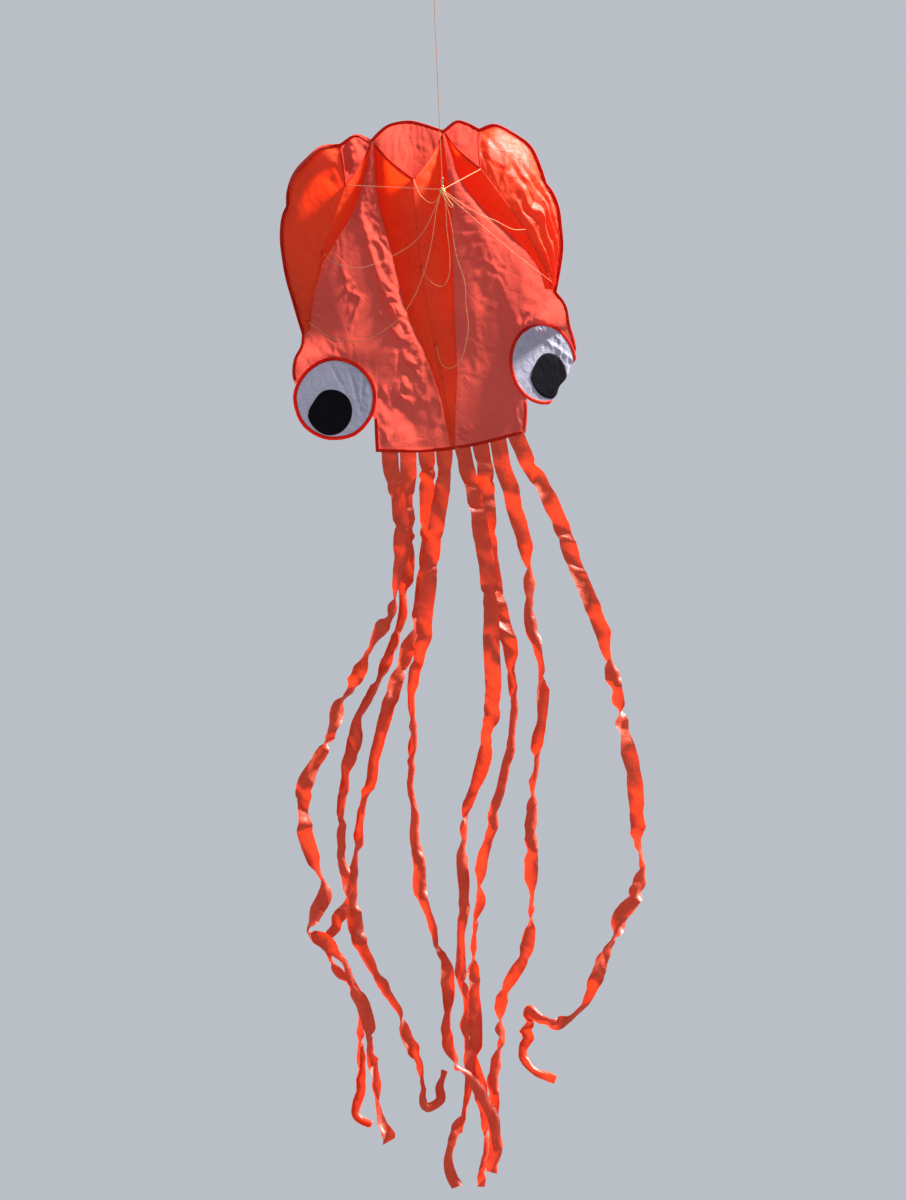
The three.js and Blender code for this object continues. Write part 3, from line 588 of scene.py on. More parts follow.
def addCord(name, points, diameter, finish, slot, body, stands, **laid):
    cord = cordCurve(name, points, diameter)
    cord.data.materials.append(looks[finish])
    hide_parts(*stands)
    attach(cord, body)
    round(lengthsAlong(points)[-1] / perMetre, 3)


def tabPlace(ridgePoints, i):
    x, z, share = ridgePoints[i]
    down = head["tape"] / 2 if i == 0 else 0
    return Vector((x, head["reach"] - head["keelDepth"] * share - bridle["tabGap"], z - down))


ridges = {"left": sides["left"]["ridge"], "centre": centreKeel["ridge"],
          "right": sides["right"]["ridge"]}


def addBridleLines():
    radius = bridle["knotRadius"] + bridle["gap"]
    for column, keel in enumerate(ridges):
        for i, height in enumerate(heights):
            x, z = (column - 1) * bridle["spacing"], (1 - i) * bridle["spacing"]
            start = Vector((x, math.sqrt(radius ** 2 - x ** 2 - z ** 2), z))
            end = tabPlace(ridges[keel], i) - Vector((0, bridle["tabLength"] + bridle["gap"], 0))
            bends = slackRoutes[keel][i]
            addCord(f"slack_line_{keel}_{height}",
                    Spline([start, *bends, end]).spaced(bridle["steps"]),
                    bridle["line"], "line", "bridle_line", "kite", [f"bridle_line_{keel}_{height}"],
                    far_end="object", stiffness="limp", lay="hanging" if len(bends) > 1 else "taut")


pull = Vector((0, -0.529, 0.848)).normalized()  # the way the flying line pulls
tow = {
    "knotCord": 2.8, "knotTurns": 5, "tail": [(4.5, -9.4), (11, -22), (19, -38), (23.5, -45.5),
                                              (20.5, -49.5), (15, -45.5), (7, -28), (0.5, -10.2)],
    # along the flying line: knots with their place, radius, cord and turns, and the line's ends
    "lineKnots": [("swivel_knot", "line_knot", 44.2, 2.2, 1.1, 3),
                  ("far_knot", "line_end_knot", 703.6, 3.2, 1.5, 4)],
    "lineEnds": (46.8, 700.0),
}


def woundKnot(name, centre, radius, cord, turns, finish, body, stands):
    # A knot drawn tight: one cord wound over and under itself round a small ball.
    steps = 40 * turns
    path = []
    for i in range(steps + 1):
        a = 2 * math.pi * turns * i / steps
        tilt = a * (turns + 1) / turns
        core = radius - cord * (0.55 + 0.22 * math.sin(a * 2.5 + 1))
        spin = (Matrix.Rotation(tilt * 0.37, 3, pull)
                @ Matrix.Rotation(0.9 * math.sin(tilt * 0.5), 3, "X"))
        ring = Vector((math.cos(a), 0.35 * math.sin(a * 2), math.sin(a)))
        path.append(centre + spin @ (ring * core))
    wound = cordCurve(name + "_cord", path, cord)
    mesh = bpy.data.meshes.new_from_object(wound)
    bpy.data.objects.remove(wound)
    bm = bmesh.new()
    bm.from_mesh(mesh)
    ball = bmesh.ops.create_icosphere(bm, subdivisions=3, radius=(radius - cord * 0.7) / perMetre)
    bmesh.ops.translate(bm, vec=centre / perMetre, verts=ball["verts"])
    bmesh.ops.scale(bm, vec=(perMetre,) * 3, verts=bm.verts)
    return finishPiece(bm, name, finish, body, stands)


def addTowPoint():
    woundKnot("tow_knot", Vector((0, 0, 0)), bridle["knotRadius"], tow["knotCord"],
              tow["knotTurns"], "cream", "kite", ["bridle_knot"])
    addCord("tail_loop", Spline([(x, 0, z) for x, z in tow["tail"]]).spaced(60), bridle["loop"],
            "cream", "loop_cord", "loop_tail", ["bridle_loop"],
            far_end="object", stiffness="medium", lay="hanging")
    bead, stopper = [
        woundKnot(name, pull * far, radius, cord, turns, "line", "pulled_line", [node])
        for name, node, far, radius, cord, turns in tow["lineKnots"]]
    addCord("kite_line", [pull * mix(*tow["lineEnds"], i / 40) for i in range(41)], bridle["line"],
            "line", "bridle_line", "pulled_line", ["flying_line"],
            far_end="knot", stiffness="limp", lay="taut", with_pieces=[stopper, bead])
    for node in ("swivel_barrel", "swivel_lower_eye", "swivel_upper_eye"):
        nodes[node].data.materials.clear()
        nodes[node].data.materials.append(looks["metal"])


addBridleLines()
addTowPoint()
print("bridle and tow point made")


# ---- the head's edge ----
def joined(stretches):
    points = []
    for stretch, steps in stretches:
        points += flatSpline(stretch, steps)[1 if points else 0:]
    return points


def sideEdge(side):
    return joined([
        ([side["lobe"][-1], *side["flank"], side["waist"]], 36),
        ([side["waist"], *side["cheek"], side["chin"][0]], 36),
        (side["chin"], 9),
    ])


noseEdge = joined([
    ([*reversed(sides["left"]["lobe"]), sides["left"]["crestEnd"]], 32),
    ([sides["left"]["crestEnd"], *sides["left"]["crest"], nose[0]], 12),
    (nose, 28),
    ([nose[-1], *sides["right"]["crest"], sides["right"]["crestEnd"]], 14),
    ([sides["right"]["crestEnd"], *sides["right"]["lobe"]], 32),
])
edges = {name: sideEdge(side) for name, side in sides.items()}
hemSteps = 50
hemLine = [(x, hemAt(x)) for x in (mix(*head["hemEnds"], i / hemSteps) for i in range(hemSteps + 1))]
edgeLoop = (noseEdge[:-1] + edges["right"][:-1] + list(reversed(hemLine[1:]))
            + list(reversed(edges["left"][1:])))

eye = {"radius": 118.0, "tuck": 6.0, "pupil": 64.0, "foldAt": 78.0, "foldWay": (0.72, -0.694),
       "foldTurn": 2.5, "foldRadius": 7.0}


def eyePlace(side, a, b, lift=0.0):
    # a point of the eye's own plane, a across it and b up it; the right eye's lower outer part
    # is blown back along a rolled fold
    x, z = side["eye"]
    angle = math.atan(head["turn"][side["sign"]]) * side["sign"]
    if side["sign"] > 0:
        way = Vector(eye["foldWay"]).normalized()
        over = a * way.x + b * way.y - eye["foldAt"] - 3.0 * math.sin(b / 9.0)
        if over > 0:
            turn, radius = eye["foldTurn"], eye["foldRadius"]
            rolled = min(over, turn * radius)
            straight = over - rolled
            t = rolled / radius
            inPlane = radius * math.sin(t) + straight * math.cos(turn)
            behind = radius * (1 - math.cos(t)) + straight * math.sin(turn)
            # what was the front looks backwards past the fold
            inPlane += lift * math.sin(t)
            a += way.x * (inPlane - over)
            b += way.y * (inPlane - over)
            lift = lift * math.cos(t) - behind
    out = Vector((math.sin(angle), -math.cos(angle), 0))
    place = Vector((x + a * math.cos(angle), sailDepth(x, z) + a * math.sin(angle), z + b))
    return place + out * lift


def nearEye(x, z, side, clearance=0.0):
    stretch = math.hypot(1, head["turn"][side["sign"]])
    ex, ez = side["eye"]
    return math.hypot((x - ex) * stretch, z - ez) < eye["radius"] + clearance


def insideEye(x, z, clearance=0.0):
    return any(nearEye(x, z, side, clearance) for side in sides.values())


def eyeArc(side, start, end, radius):
    # the arc round an eye from one edge point to another, on the sail's side of it
    stretch = math.hypot(1, head["turn"][side["sign"]])
    ex, ez = side["eye"]
    a, b = [math.atan2(z - ez, (x - ex) * stretch) for x, z in (start, end)]
    inner = math.pi if side["sign"] > 0 else 0.0
    sweep = (b - a) % (2 * math.pi)
    if (inner - a) % (2 * math.pi) > sweep:
        sweep -= 2 * math.pi
    return [(ex + radius * math.cos(a + sweep * i / 36) / stretch,
             ez + radius * math.sin(a + sweep * i / 36)) for i in range(37)]


def inwardOf(loop, i):
    before, after = loop[(i - 1) % len(loop)], loop[(i + 1) % len(loop)]
    dx, dz = after[0] - before[0], after[1] - before[1]
    size = math.hypot(dx, dz)
    return dz / size, -dx / size


def cutForEyes(loop):
    for side in sides.values():
        flags = [nearEye(x, z, side, 1.0) for x, z in loop]
        n = len(loop)
        first = next(i for i in range(n) if flags[i] and not flags[i - 1])
        count = next(k for k in range(n) if not flags[(first + k) % n])
        before, after = loop[first - 1], loop[(first + count) % n]
        loop = [loop[(first + count + k) % n] for k in range(n - count)]
        loop += eyeArc(side, before, after, eye["radius"] - 5.0)[1:-1]
    return loop


# ---- creases: x and z down a fold, with its lift, and how far it reaches to the left and right.
# A fold is pushed back, so that the light from behind catches the cloth to its right ----
creases = [
    ([(-180, 205), (-178, 165), (-174, 105)], 15.0, 14, 48),
    ([(-147, 80), (-166, 30), (-169, -31), (-155, -123), (-148, -183), (-129, -268), (-99, -325),
      (-69, -389), (-57, -420)], 11.0, 30, 40),
    ([(-131, 32), (-121, -37), (-110, -99), (-105, -174), (-89, -251), (-69, -329), (-50, -384)],
     6.0, 8, 16),
    ([(-247, -156), (-241, -201), (-237, -236), (-204, -259), (-222, -294), (-246, -339)], 6.0, 7, 15),
    ([(-163, -294), (-139, -342), (-103, -388), (-72, -411)], 7.5, 9, 22),
    ([(-120, -427), (-98, -447), (-80, -470), (-71, -490), (-94, -516)], 7.0, 10, 20),
    ([(-181, -513), (-167, -552)], 5.0, 7, 13),
    ([(-134, -530), (-118, -571)], 5.0, 7, 13),
    ([(-189, -545), (-141, -582), (-103, -639), (-100, -690)], -20.0, 62, 92),
    ([(136, 19), (168, -82), (189, -212), (219, -321), (230, -386)], 20.0, 70, 110),
    ([(129, -205), (121, -353), (97, -500), (70, -646)], 1.5, 20, 24),
    ([(175, -256), (169, -360), (151, -470)], 1.4, 18, 20),
    ([(17, -697), (56, -671), (95, -657)], 5.0, 10, 14),
    ([(172, -652), (204, -608)], 5.5, 8, 22),
    ([(-188, -28), (-164, -77), (-156, -160)], 3.0, 8, 12),
    ([(-290, -250), (-262, -330), (-250, -400)], 1.2, 20, 24),
    ([(-118, -450), (-100, -510), (-84, -560)], -9.0, 24, 72),
    ([(-185, -590), (-180, -650), (-190, -690)], 3.0, 10, 16),
]
crumpled = [  # x, z, reach across, reach up, lift
    (-118, -90, 40, 130, 11.0), (-100, -310, 50, 90, 13.0), (-85, -470, 40, 60, 9.0),
    (-232, -240, 20, 70, 6.0), (-150, -550, 50, 36, 8.0), (60, -680, 60, 22, 9.0),
    (200, -640, 30, 40, 5.0), (-20, 150, 60, 50, 4.5), (-162, 165, 36, 40, 11.0),
    (130, 150, 36, 50, 4.5), (190, -180, 40, 150, 3.6), (270, -390, 40, 40, 7.0),
    (-200, -630, 40, 60, 4.0), (100, -480, 60, 140, 2.6),
]
crumpleWaves = [  # share, run in x and in z, length, and how far two warps bend it
    (0.42, 0.92, 0.30, 52, 0, 1.2), (0.34, -0.55, 0.80, 74, 1.3, 0),
    (0.20, 0.75, 0.60, 29, 1.6, -1.0),
]


def roomOf(line, reach):
    xs, zs = [x for x, z in line], [z for x, z in line]
    return min(xs) - reach, max(xs) + reach, min(zs) - reach, max(zs) + reach


creaseRoom = [roomOf(line, 1.5 * max(left, right)) for line, height, left, right in creases]


def nearestOn(line, here):
    # how far the line is, on which side of it the place lies, and the share of it passed
    best = None
    for i, (a, b) in enumerate(zip(line, line[1:])):
        a, b = Vector(a), Vector(b)
        way = b - a
        t = clamp((here - a).dot(way) / way.length_squared)
        off = here - a - way * t
        if best is None or off.length < best[0]:
            # down the fold, the right of the kite lies at the line's left hand
            side = 1 if way.x * off.y - way.y * off.x > 0 else -1
            best = (off.length, side, (i + t) / (len(line) - 1))
    return best


def foldLift(x, z):
    lift = 0.0
    for room, (line, height, leftReach, rightReach) in zip(creaseRoom, creases):
        if not (room[0] < x < room[1] and room[2] < z < room[3]):
            continue
        far, side, along = nearestOn(line, Vector((x, z)))
        reach = rightReach if side > 0 else leftReach
        reach *= 1 + 0.45 * noise.noise(Vector((x, z, 7)) * 0.035)
        if far < reach:
            fade = math.sin(math.pi * clamp(along, 0.04, 0.96)) ** 0.5
            lift -= height * fade * (1 - far / reach) ** 1.05
    for cx, cz, across, up, height in crumpled:
        near = ((x - cx) / across) ** 2 + ((z - cz) / up) ** 2
        if near < 4:
            # flat facets between sharp folds, which run down and to the right
            warp = noise.noise(Vector((x * 0.017, z * 0.014, cx)))
            other = noise.noise(Vector((x * 0.024, z * 0.019, cz)))
            lift += height * math.exp(-near * 1.1) * sum(
                share * zigzag((x * inX + z * inZ) / length + bend * other + bow * warp)
                for share, inX, inZ, length, bend, bow in crumpleWaves)
    lift += 1.8 * noise.noise(Vector((x * 0.013, z * 0.007, 21)))
    return lift


seams = {
    "left_inner": sides["left"]["seam"], "centre_left": centreKeel["left"],
    "centre_right": centreKeel["right"], "right_inner": sides["right"]["seam"],
}
sail = {
    "cell": 7.5, "seamHold": 16, "calm": 0.85, "calmBand": (400, 490), "bulgeBand": (100, 160),
    "wind": {"way": (0, 1, 0), "strength": 6.0, "stiff": 0.06, "slack": 0.014, "frames": 26,
             "cap": 16.0},
}


def nearness(lines, step=2.0):
    # finds how far a place on the cloth is from the nearest of some lines
    dense = []
    for line in lines:
        for (ax, az), (bx, bz) in zip(line, line[1:]):
            parts = max(1, int(math.hypot(bx - ax, bz - az) / step))
            dense += [(mix(ax, bx, i / parts), 0, mix(az, bz, i / parts)) for i in range(parts + 1)]
    tree = KDTree(len(dense))
    for i, point in enumerate(dense):
        tree.insert(point, i)
    tree.balance()
    return lambda x, z: tree.find((x, 0, z))[2]


def refine(piece):
    # halves the cells of a settled cloth and eases it, so that its folds can be crisp
    bm = bmesh.new()
    bm.from_mesh(piece.data)
    bmesh.ops.subdivide_edges(bm, edges=bm.edges, cuts=1, use_grid_fill=True)
    inner = [vert for vert in bm.verts if not vert.is_boundary]
    bmesh.ops.smooth_vert(bm, verts=inner, factor=0.5, use_axis_x=True, use_axis_y=True,
                          use_axis_z=True)
    bm.to_mesh(piece.data)
    bm.free()


def clothPlaces(piece):
    # each point's place in the flat cloth, from the UV map, in millimetres
    found = [None] * len(piece.data.vertices)
    layer = piece.data.uv_layers["cloth"].data
    for loop in piece.data.loops:
        found[loop.vertex_index] = layer[loop.index].uv * perMetre
    return found


def addSail():
    outline = cutForEyes(edgeLoop)
    bm = bmesh.new()
    bm.faces.new([bm.verts.new((x, 0, z)) for x, z in outline])
    for axis, low, high in ((0, -425, 425), (2, -725, 225)):
        cutIntoCells(bm, axis, low, high, sail["cell"], 0.2)
    bmesh.ops.remove_doubles(bm, verts=bm.verts, dist=0.4)
    bmesh.ops.triangulate(bm, faces=[f for f in bm.faces if len(f.verts) > 4])
    mapFlat(bm, 2)
    seamLines = [flatSpline(line, 30) for line in seams.values()]
    toSeam = nearness(seamLines)
    toHold = nearness([*seamLines, outline + outline[:1]])
    bm.verts.index_update()
    pinned = [vert.index for vert in bm.verts
              if vert.is_boundary or toSeam(vert.co.x, vert.co.z) < sail["cell"] * 0.75]
    for vert in bm.verts:
        vert.co = onSail(vert.co.x, vert.co.z)
    piece = finishPiece(bm, "sail", "sail", "kite", ["back_sail"])
    faceTowards(piece, (0, -1, 0))
    fillWithWind(piece, pinned, sail["wind"])
    refine(piece)
    for vert, (x, z) in zip(piece.data.vertices, clothPlaces(piece)):
        # the wind fills the cloth less low down, and in one bulge between the left keel's seams
        calm = sail["calm"] * smoothstep(-z, *sail["calmBand"])
        vert.co.y = mix(vert.co.y, sailDepth(x, z) / perMetre, calm)
        wave = math.sin(math.pi * x / head["billowSpan"]) ** 2 * smoothstep(z, *head["cheekTop"])
        vert.co.y -= head["billow"] * wave * smoothstep(-x, *sail["bulgeBand"]) / perMetre
        hold = smoothstep(toHold(x, z), 0, sail["seamHold"])
        vert.co.y -= foldLift(x, z) * hold / perMetre
    piece.data.update()
    print("sail", len(piece.data.vertices), "points, area", round(meshArea(piece), 3))


addSail()


# ---- keels ----
def outerSeam(side):
    # follows the head's edge, inside its tape, from the notch in the nose down to the waist
    n, sign = len(edgeLoop), side["sign"]
    crestX, waistZ = side["crestEnd"][0], side["waist"][1]
    line = []
    for k in range(n):
        i = (len(noseEdge) // 2 + k * sign) % n
        x, z = edgeLoop[i]
        if x * sign >= crestX * sign - 0.5 and z >= waistZ:
            inX, inZ = inwardOf(edgeLoop, i)
            line.append((x + inX * 11, z + inZ * 11))
    return Spline([onSail(x, z, head["seamLift"]) for x, z in line[::3] + line[-1:]])


def seamOf(points):
    return Spline([onSail(x, z, head["seamLift"]) for x, z in points])


def ridgeOf(points):
    return Spline([(x, head["reach"] - head["keelDepth"] * share, z) for x, z, share in points])


keels = {
    "left": {"seams": (outerSeam(sides["left"]), seamOf(sides["left"]["seam"])), "bulges": (26, 8)},
    "centre": {"seams": (seamOf(centreKeel["left"]), seamOf(centreKeel["right"])), "bulges": (10, 10)},
    "right": {"seams": (seamOf(sides["right"]["seam"]), outerSeam(sides["right"])), "bulges": (8, 26)},
}


def panelPoint(seam, ridge, bulge, v, u):
    foot, top = seam.point(v), ridge.point(v)
    out = (top - foot).cross(seam.tangent(v)).normalized()
    if out.y > 0:
        out.negate()
    return foot.lerp(top, u) + out * (bulge * math.sin(math.pi * u) * (1 - v))


panelWind = {"strength": 6.0, "stiff": 0.05, "frames": 22, "cap": 12.0}
# how each panel is creased: (v, u from, u to, lift, reach in v) for folds across it, and the
# strength of the small crumples
panelLook = {
    ("left", 0): {"cells": (26, 46), "crumple": 1.4, "slack": 0.012,
                  "folds": [(0.06, 0.35, 0.9, 5, 0.03), (0.12, 0.5, 0.95, 5, 0.03),
                            (0.30, 0.4, 1.0, 3, 0.05), (0.55, 0.5, 1.0, 3, 0.05)]},
    ("left", 1): {"cells": (14, 46), "crumple": 1.2, "slack": 0.010,
                  "folds": [(0.10, 0.0, 0.7, 3, 0.04), (0.5, 0.3, 1.0, 3, 0.05)]},
    ("centre", 0): {"cells": (18, 70), "crumple": 1.2, "slack": 0.010,
                    "folds": [(0.16, 0.2, 1.0, 4, 0.04), (0.45, 0.1, 0.9, 4, 0.06)]},
    ("centre", 1): {"cells": (18, 70), "crumple": 1.4, "slack": 0.010,
                    "folds": [(0.10, 0.4, 1.0, 3, 0.03), (0.62, 0.0, 0.8, 5, 0.04),
                              (0.74, 0.2, 1.0, 4, 0.03)]},
    ("right", 0): {"cells": (14, 46), "crumple": 2.0, "slack": 0.012,
                   "folds": [(0.25, 0.2, 1.0, 4, 0.05), (0.5, 0.0, 0.9, 4, 0.04)]},
    ("right", 1): {"cells": (28, 50), "crumple": 3.0, "slack": 0.014, "pleats": (4, 5.0),
                   "folds": [(0.05, 0.1, 0.8, 4, 0.03), (0.16, 0.3, 1.0, 5, 0.05),
                             (0.34, 0.3, 1.0, 6, 0.06), (0.55, 0.2, 1.0, 6, 0.05)]},
}


def addPanel(keel, index):
    spec, look = keels[keel], panelLook[(keel, index)]
    seam, ridge, bulge = spec["seams"][index], ridgeOf(ridges[keel]), spec["bulges"][index]
    # a panel tapers, so its flat cloth is given less than its full width
    size = ((seam.point(0) - ridge.point(0)).length * 0.8, ridge.length)
    bm = gridSheet(*look["cells"], size, lambda u, v: panelPoint(seam, ridge, bulge, v, u))
    side = ["left", "right"][index]
    piece = finishPiece(bm, f"{keel}_keel_{side}_cloth", "keel", "kite",
                        [f"keel_{keel}_panel_{side}"])
    outward = panelPoint(seam, ridge, 60, 0.3, 0.5) - panelPoint(seam, ridge, 0, 0.3, 0.5)
    faceTowards(piece, outward)

    def flatShares():
        return [(p.x / size[0], p.y / size[1]) for p in clothPlaces(piece)]

    pinned = [i for i, (u, v) in enumerate(flatShares())
              if u < 0.001 or u > 0.999 or v < 0.012 or v > 0.999]
    fillWithWind(piece, pinned, {**panelWind, "way": outward, "slack": look["slack"]})
    refine(piece)
    normals = [vert.normal.copy() for vert in piece.data.vertices]
    seed = 31 * (index + 1) + len(keel)
    for vert, (u, v), normal in zip(piece.data.vertices, flatShares(), normals):
        lift = 0.0
        for at, low, high, height, reach in look["folds"]:
            # each fold runs askew, from the ridge towards the seam and down
            centre = at + 0.10 * (u - 0.5) * (1 if index else -1)
            off = abs(v - centre) / reach
            if off < 1 and low <= u <= high:
                lift += height * (1 - off) ** 1.3 * math.sin(math.pi * (u - low) / (high - low))
        place = vert.co * perMetre
        p = Vector((place.x * 0.020, place.z * 0.011, seed))
        warp, other = noise.noise(p), noise.noise(p * 1.9)
        lift += look["crumple"] * (0.5 * zigzag(u * 2.3 - v * 1.7 + 0.9 * warp)
                                   + 0.3 * zigzag(u * 3.1 + v * 4.2 + 1.1 * other))
        # long creases down the panel, deepest low down by its seam
        pleats, height = look.get("pleats", (0, 0))
        lift += height * smoothstep(v, 0.15, 0.5) * zigzag(u * pleats + v * 2.0 + 0.8 * warp)
        hold = smoothstep(min(u, 1 - u, v * 3, (1 - v) * 3), 0, 0.16)
        vert.co += normal * (lift * hold / perMetre)
    piece.data.update()


for keel in keels:
    for index in (0, 1):
        addPanel(keel, index)
print("keels made")


# ---- tapes folded over an edge ----
foldSection = [(1.0, 1.3), (0.72, 1.75), (0.36, 1.75), (0.06, 1.25), (-0.03, 0.0), (0.06, -1.25),
               (0.36, -1.6), (0.72, -1.6), (1.0, -1.2)]


def foldedTape(name, edge, inward, normal, width, stands, seed):
    # edge, inward and normal are lists along the tape; its section wraps over the edge
    steps, across = len(edge) - 1, len(foldSection)
    far = lengthsAlong(edge)

    def place(u, v):
        i = int(round(v * steps))
        reach, lift = foldSection[int(round(u * (across - 1)))]
        wobble = noise.noise(Vector((far[i] * 0.08, seed, 0)))
        gather = noise.noise(Vector((far[i] * 0.22, seed, 5)))
        lift *= 1 + 0.35 * gather
        return (edge[i] + inward[i] * (width * reach * (1 + 0.10 * wobble))
                + normal[i] * (lift + 0.5 * wobble))

    bm = gridSheet(across - 1, steps, (width, far[-1]), place)
    layer = bm.loops.layers.uv.active
    bm.verts.index_update()
    for face in bm.faces:
        for loop in face.loops:
            i = loop.vert.index
            loop[layer].uv = (far[i // across] / perMetre, clamp(foldSection[i % across][0]))
    piece = finishPiece(bm, name, "tape", "kite", stands)
    # the faces look away from the cloth inside the fold
    outwards = 0.0
    for face in piece.data.polygons:
        i = min(steps, face.vertices[0] // across)
        core = (edge[i] + inward[i] * 4.5) / perMetre
        outwards += (face.center - core).normalized().dot(face.normal)
    if outwards < 0:
        piece.data.flip_normals()
    thicken(piece, 0.0005)


def sailTape(name, indices, stands, seed):
    edge, inward, normal = [], [], []
    for i in indices:
        x, z = edgeLoop[i]
        inX, inZ = inwardOf(edgeLoop, i)
        start = onSail(x, z)
        way = (onSail(x + inX * head["tape"], z + inZ * head["tape"]) - start).normalized()
        up = way.cross(Vector((-inZ, 0, inX))).normalized()
        if up.y > 0:
            up.negate()
        edge.append(start)
        inward.append(way)
        normal.append(up)
    foldedTape(name, edge, inward, normal, head["tape"], stands, seed)


def addEdgeTapes():
    n = len(edgeLoop)
    free = [not insideEye(x, z, 3.0) for x, z in edgeLoop]

    def stretchFrom(start):
        first = last = start
        while free[(first - 1) % n]:
            first -= 1
        while free[(last + 1) % n]:
            last += 1
        return [(first + k) % n for k in range(last - first + 1)]

    sailTape("nose_binding", stretchFrom(len(noseEdge) // 2), ["edge_binding"], 3)
    hemMiddle = len(noseEdge) - 1 + len(edges["right"]) - 1 + hemSteps // 2
    sailTape("hem_tape", stretchFrom(hemMiddle), ["hem_binding"], 8)


def addMouthTape(keel):
    spec, ridge = keels[keel], ridgeOf(ridges[keel])
    path = [(spec["seams"][0], spec["bulges"][0], i / 26) for i in range(1, 27)]
    path += [(spec["seams"][1], spec["bulges"][1], 1 - i / 26) for i in range(1, 26)]
    step = head["tape"] / ridge.length
    edge, inward, normal = [], [], []
    for seam, bulge, u in path:
        start = panelPoint(seam, ridge, bulge, 0, u)
        within = panelPoint(seam, ridge, bulge, step, u)
        edge.append(start)
        inward.append((within - start).normalized())
    for i, way in enumerate(inward):
        along = edge[min(len(edge) - 1, i + 1)] - edge[max(0, i - 1)]
        up = way.cross(along).normalized()
        normal.append(up)
    if sum(up.y for up in normal) > 0:
        normal = [-up for up in normal]
    foldedTape(f"{keel}_mouth_tape", edge, inward, normal, head["tape"] * 0.8,
               [f"mouth_binding_{keel}"], 12 + len(keel))


def carried(points, side):
    # the way along a line at each of its points, and a side carried down it without twisting
    last = len(points) - 1
    for i in range(last + 1):
        way = (points[min(last, i + 1)] - points[max(0, i - 1)]).normalized()
        side = (side - way * side.dot(way)).normalized()
        yield way, side


def roundStrip(name, points, radius, seed, wobble, swell=(0, 1, 0)):
    # a rolled seam: a thin round strip along a line, gathered by its stitches; swell is where
    # down the line it is thicker, how far to each side, and by how much
    start = (points[1] - points[0]).normalized().cross(Vector((0, -1, 0))).normalized()
    frames = [(side, side.cross(way).normalized()) for way, side in carried(points, start)]
    steps = len(points) - 1

    def place(u, v):
        i = int(round(v * steps))
        a = 2 * math.pi * u
        ragged = 1 + wobble * noise.noise(Vector((i * 0.9, seed, math.cos(a))))
        ragged += swell[2] * max(0, 1 - abs(v - swell[0]) / swell[1])
        p, q = frames[i]
        return points[i] + (p * math.cos(a) + q * math.sin(a)) * (radius * ragged)

    bm = gridSheet(8, steps, (radius * 6, lengthsAlong(points)[-1]), place)
    closeSeams(bm, 0.01, capped=True)
    finishPiece(bm, name, "keel")


def addSeams():
    for keel in keels:
        # low down, the centre ridge is rolled over where its two cloths run together
        swell = (0.66, 0.16, 2.0) if keel == "centre" else (0, 1, 0)
        roundStrip(f"{keel}_ridge_seam", ridgeOf(ridges[keel]).spaced(120), 1.5, 4, 0.5, swell)
    for name, line in seams.items():
        points = [p + Vector((0, 1.5, 0)) for p in seamOf(line).spaced(150)]
        roundStrip(f"{name}_seam", points, 1.7, 9, 0.5)
    for name, side in sides.items():
        roundStrip(f"{name}_outer_seam", outerSeam(side).spaced(110), 1.7, 9, 0.5)


addEdgeTapes()
for keel in keels:
    addMouthTape(keel)
addSeams()
print("tapes and seams made")


# ---- eyes ----
def wedge(value, centre, reach):
    return max(0.0, 1 - abs(value - centre) / reach)


def eyeCrumple(side, a, b):
    # small hills in the white: a few long folds, and a crumpled part
    if side["sign"] < 0:
        lift = 6.0 * wedge(a + 0.12 * b, 62, 9) * wedge(b, 10, 90)
        lift += 5.0 * wedge(a - 0.25 * b, 78, 7) * wedge(b, 20, 70)
        lift += 4.0 * wedge(a + 0.4 * b, 40, 8) * wedge(b, 60, 50)
        patch = smoothstep(a, 20, 80)
    else:
        lift = 3.0 * wedge(a * 0.6 + b * 0.8, 62, 10)
        lift += 2.5 * wedge(a * 0.9 - b * 0.2, 52, 8) * smoothstep(b, 0, 30)
        patch = smoothstep(a * 0.6 + b * 0.8, 10, 70)
    p = Vector((a * 0.05, b * 0.028, 11 * side["sign"]))
    lift += (1.0 + 2.4 * patch) * (0.4 - 1.5 * abs(noise.noise(p)) - 0.8 * abs(noise.noise(p * 2.2)))
    return lift


def discSheet(radius, cell, warp):
    # a disc of cloth cut into cells; warp gives each point's place from its a and b
    bm = bmesh.new()
    bmesh.ops.create_circle(bm, cap_ends=True, segments=96, radius=radius)
    for axis in (0, 1):
        cutIntoCells(bm, axis, -radius, radius, cell, 0.1)
    bmesh.ops.remove_doubles(bm, verts=bm.verts, dist=0.25)
    mapFlat(bm, 1)
    for vert in bm.verts:
        vert.co = warp(vert.co.x, vert.co.y)
    return bm


# the ring of tape round an eye: share of the radius, and lift
ringSection = [(1.004, 0.0), (0.998, 1.7), (0.975, 2.6), (0.945, 2.6), (0.918, 1.8),
               (0.912, 0.4), (0.92, -1.0), (0.955, -1.9), (0.988, -1.5)]


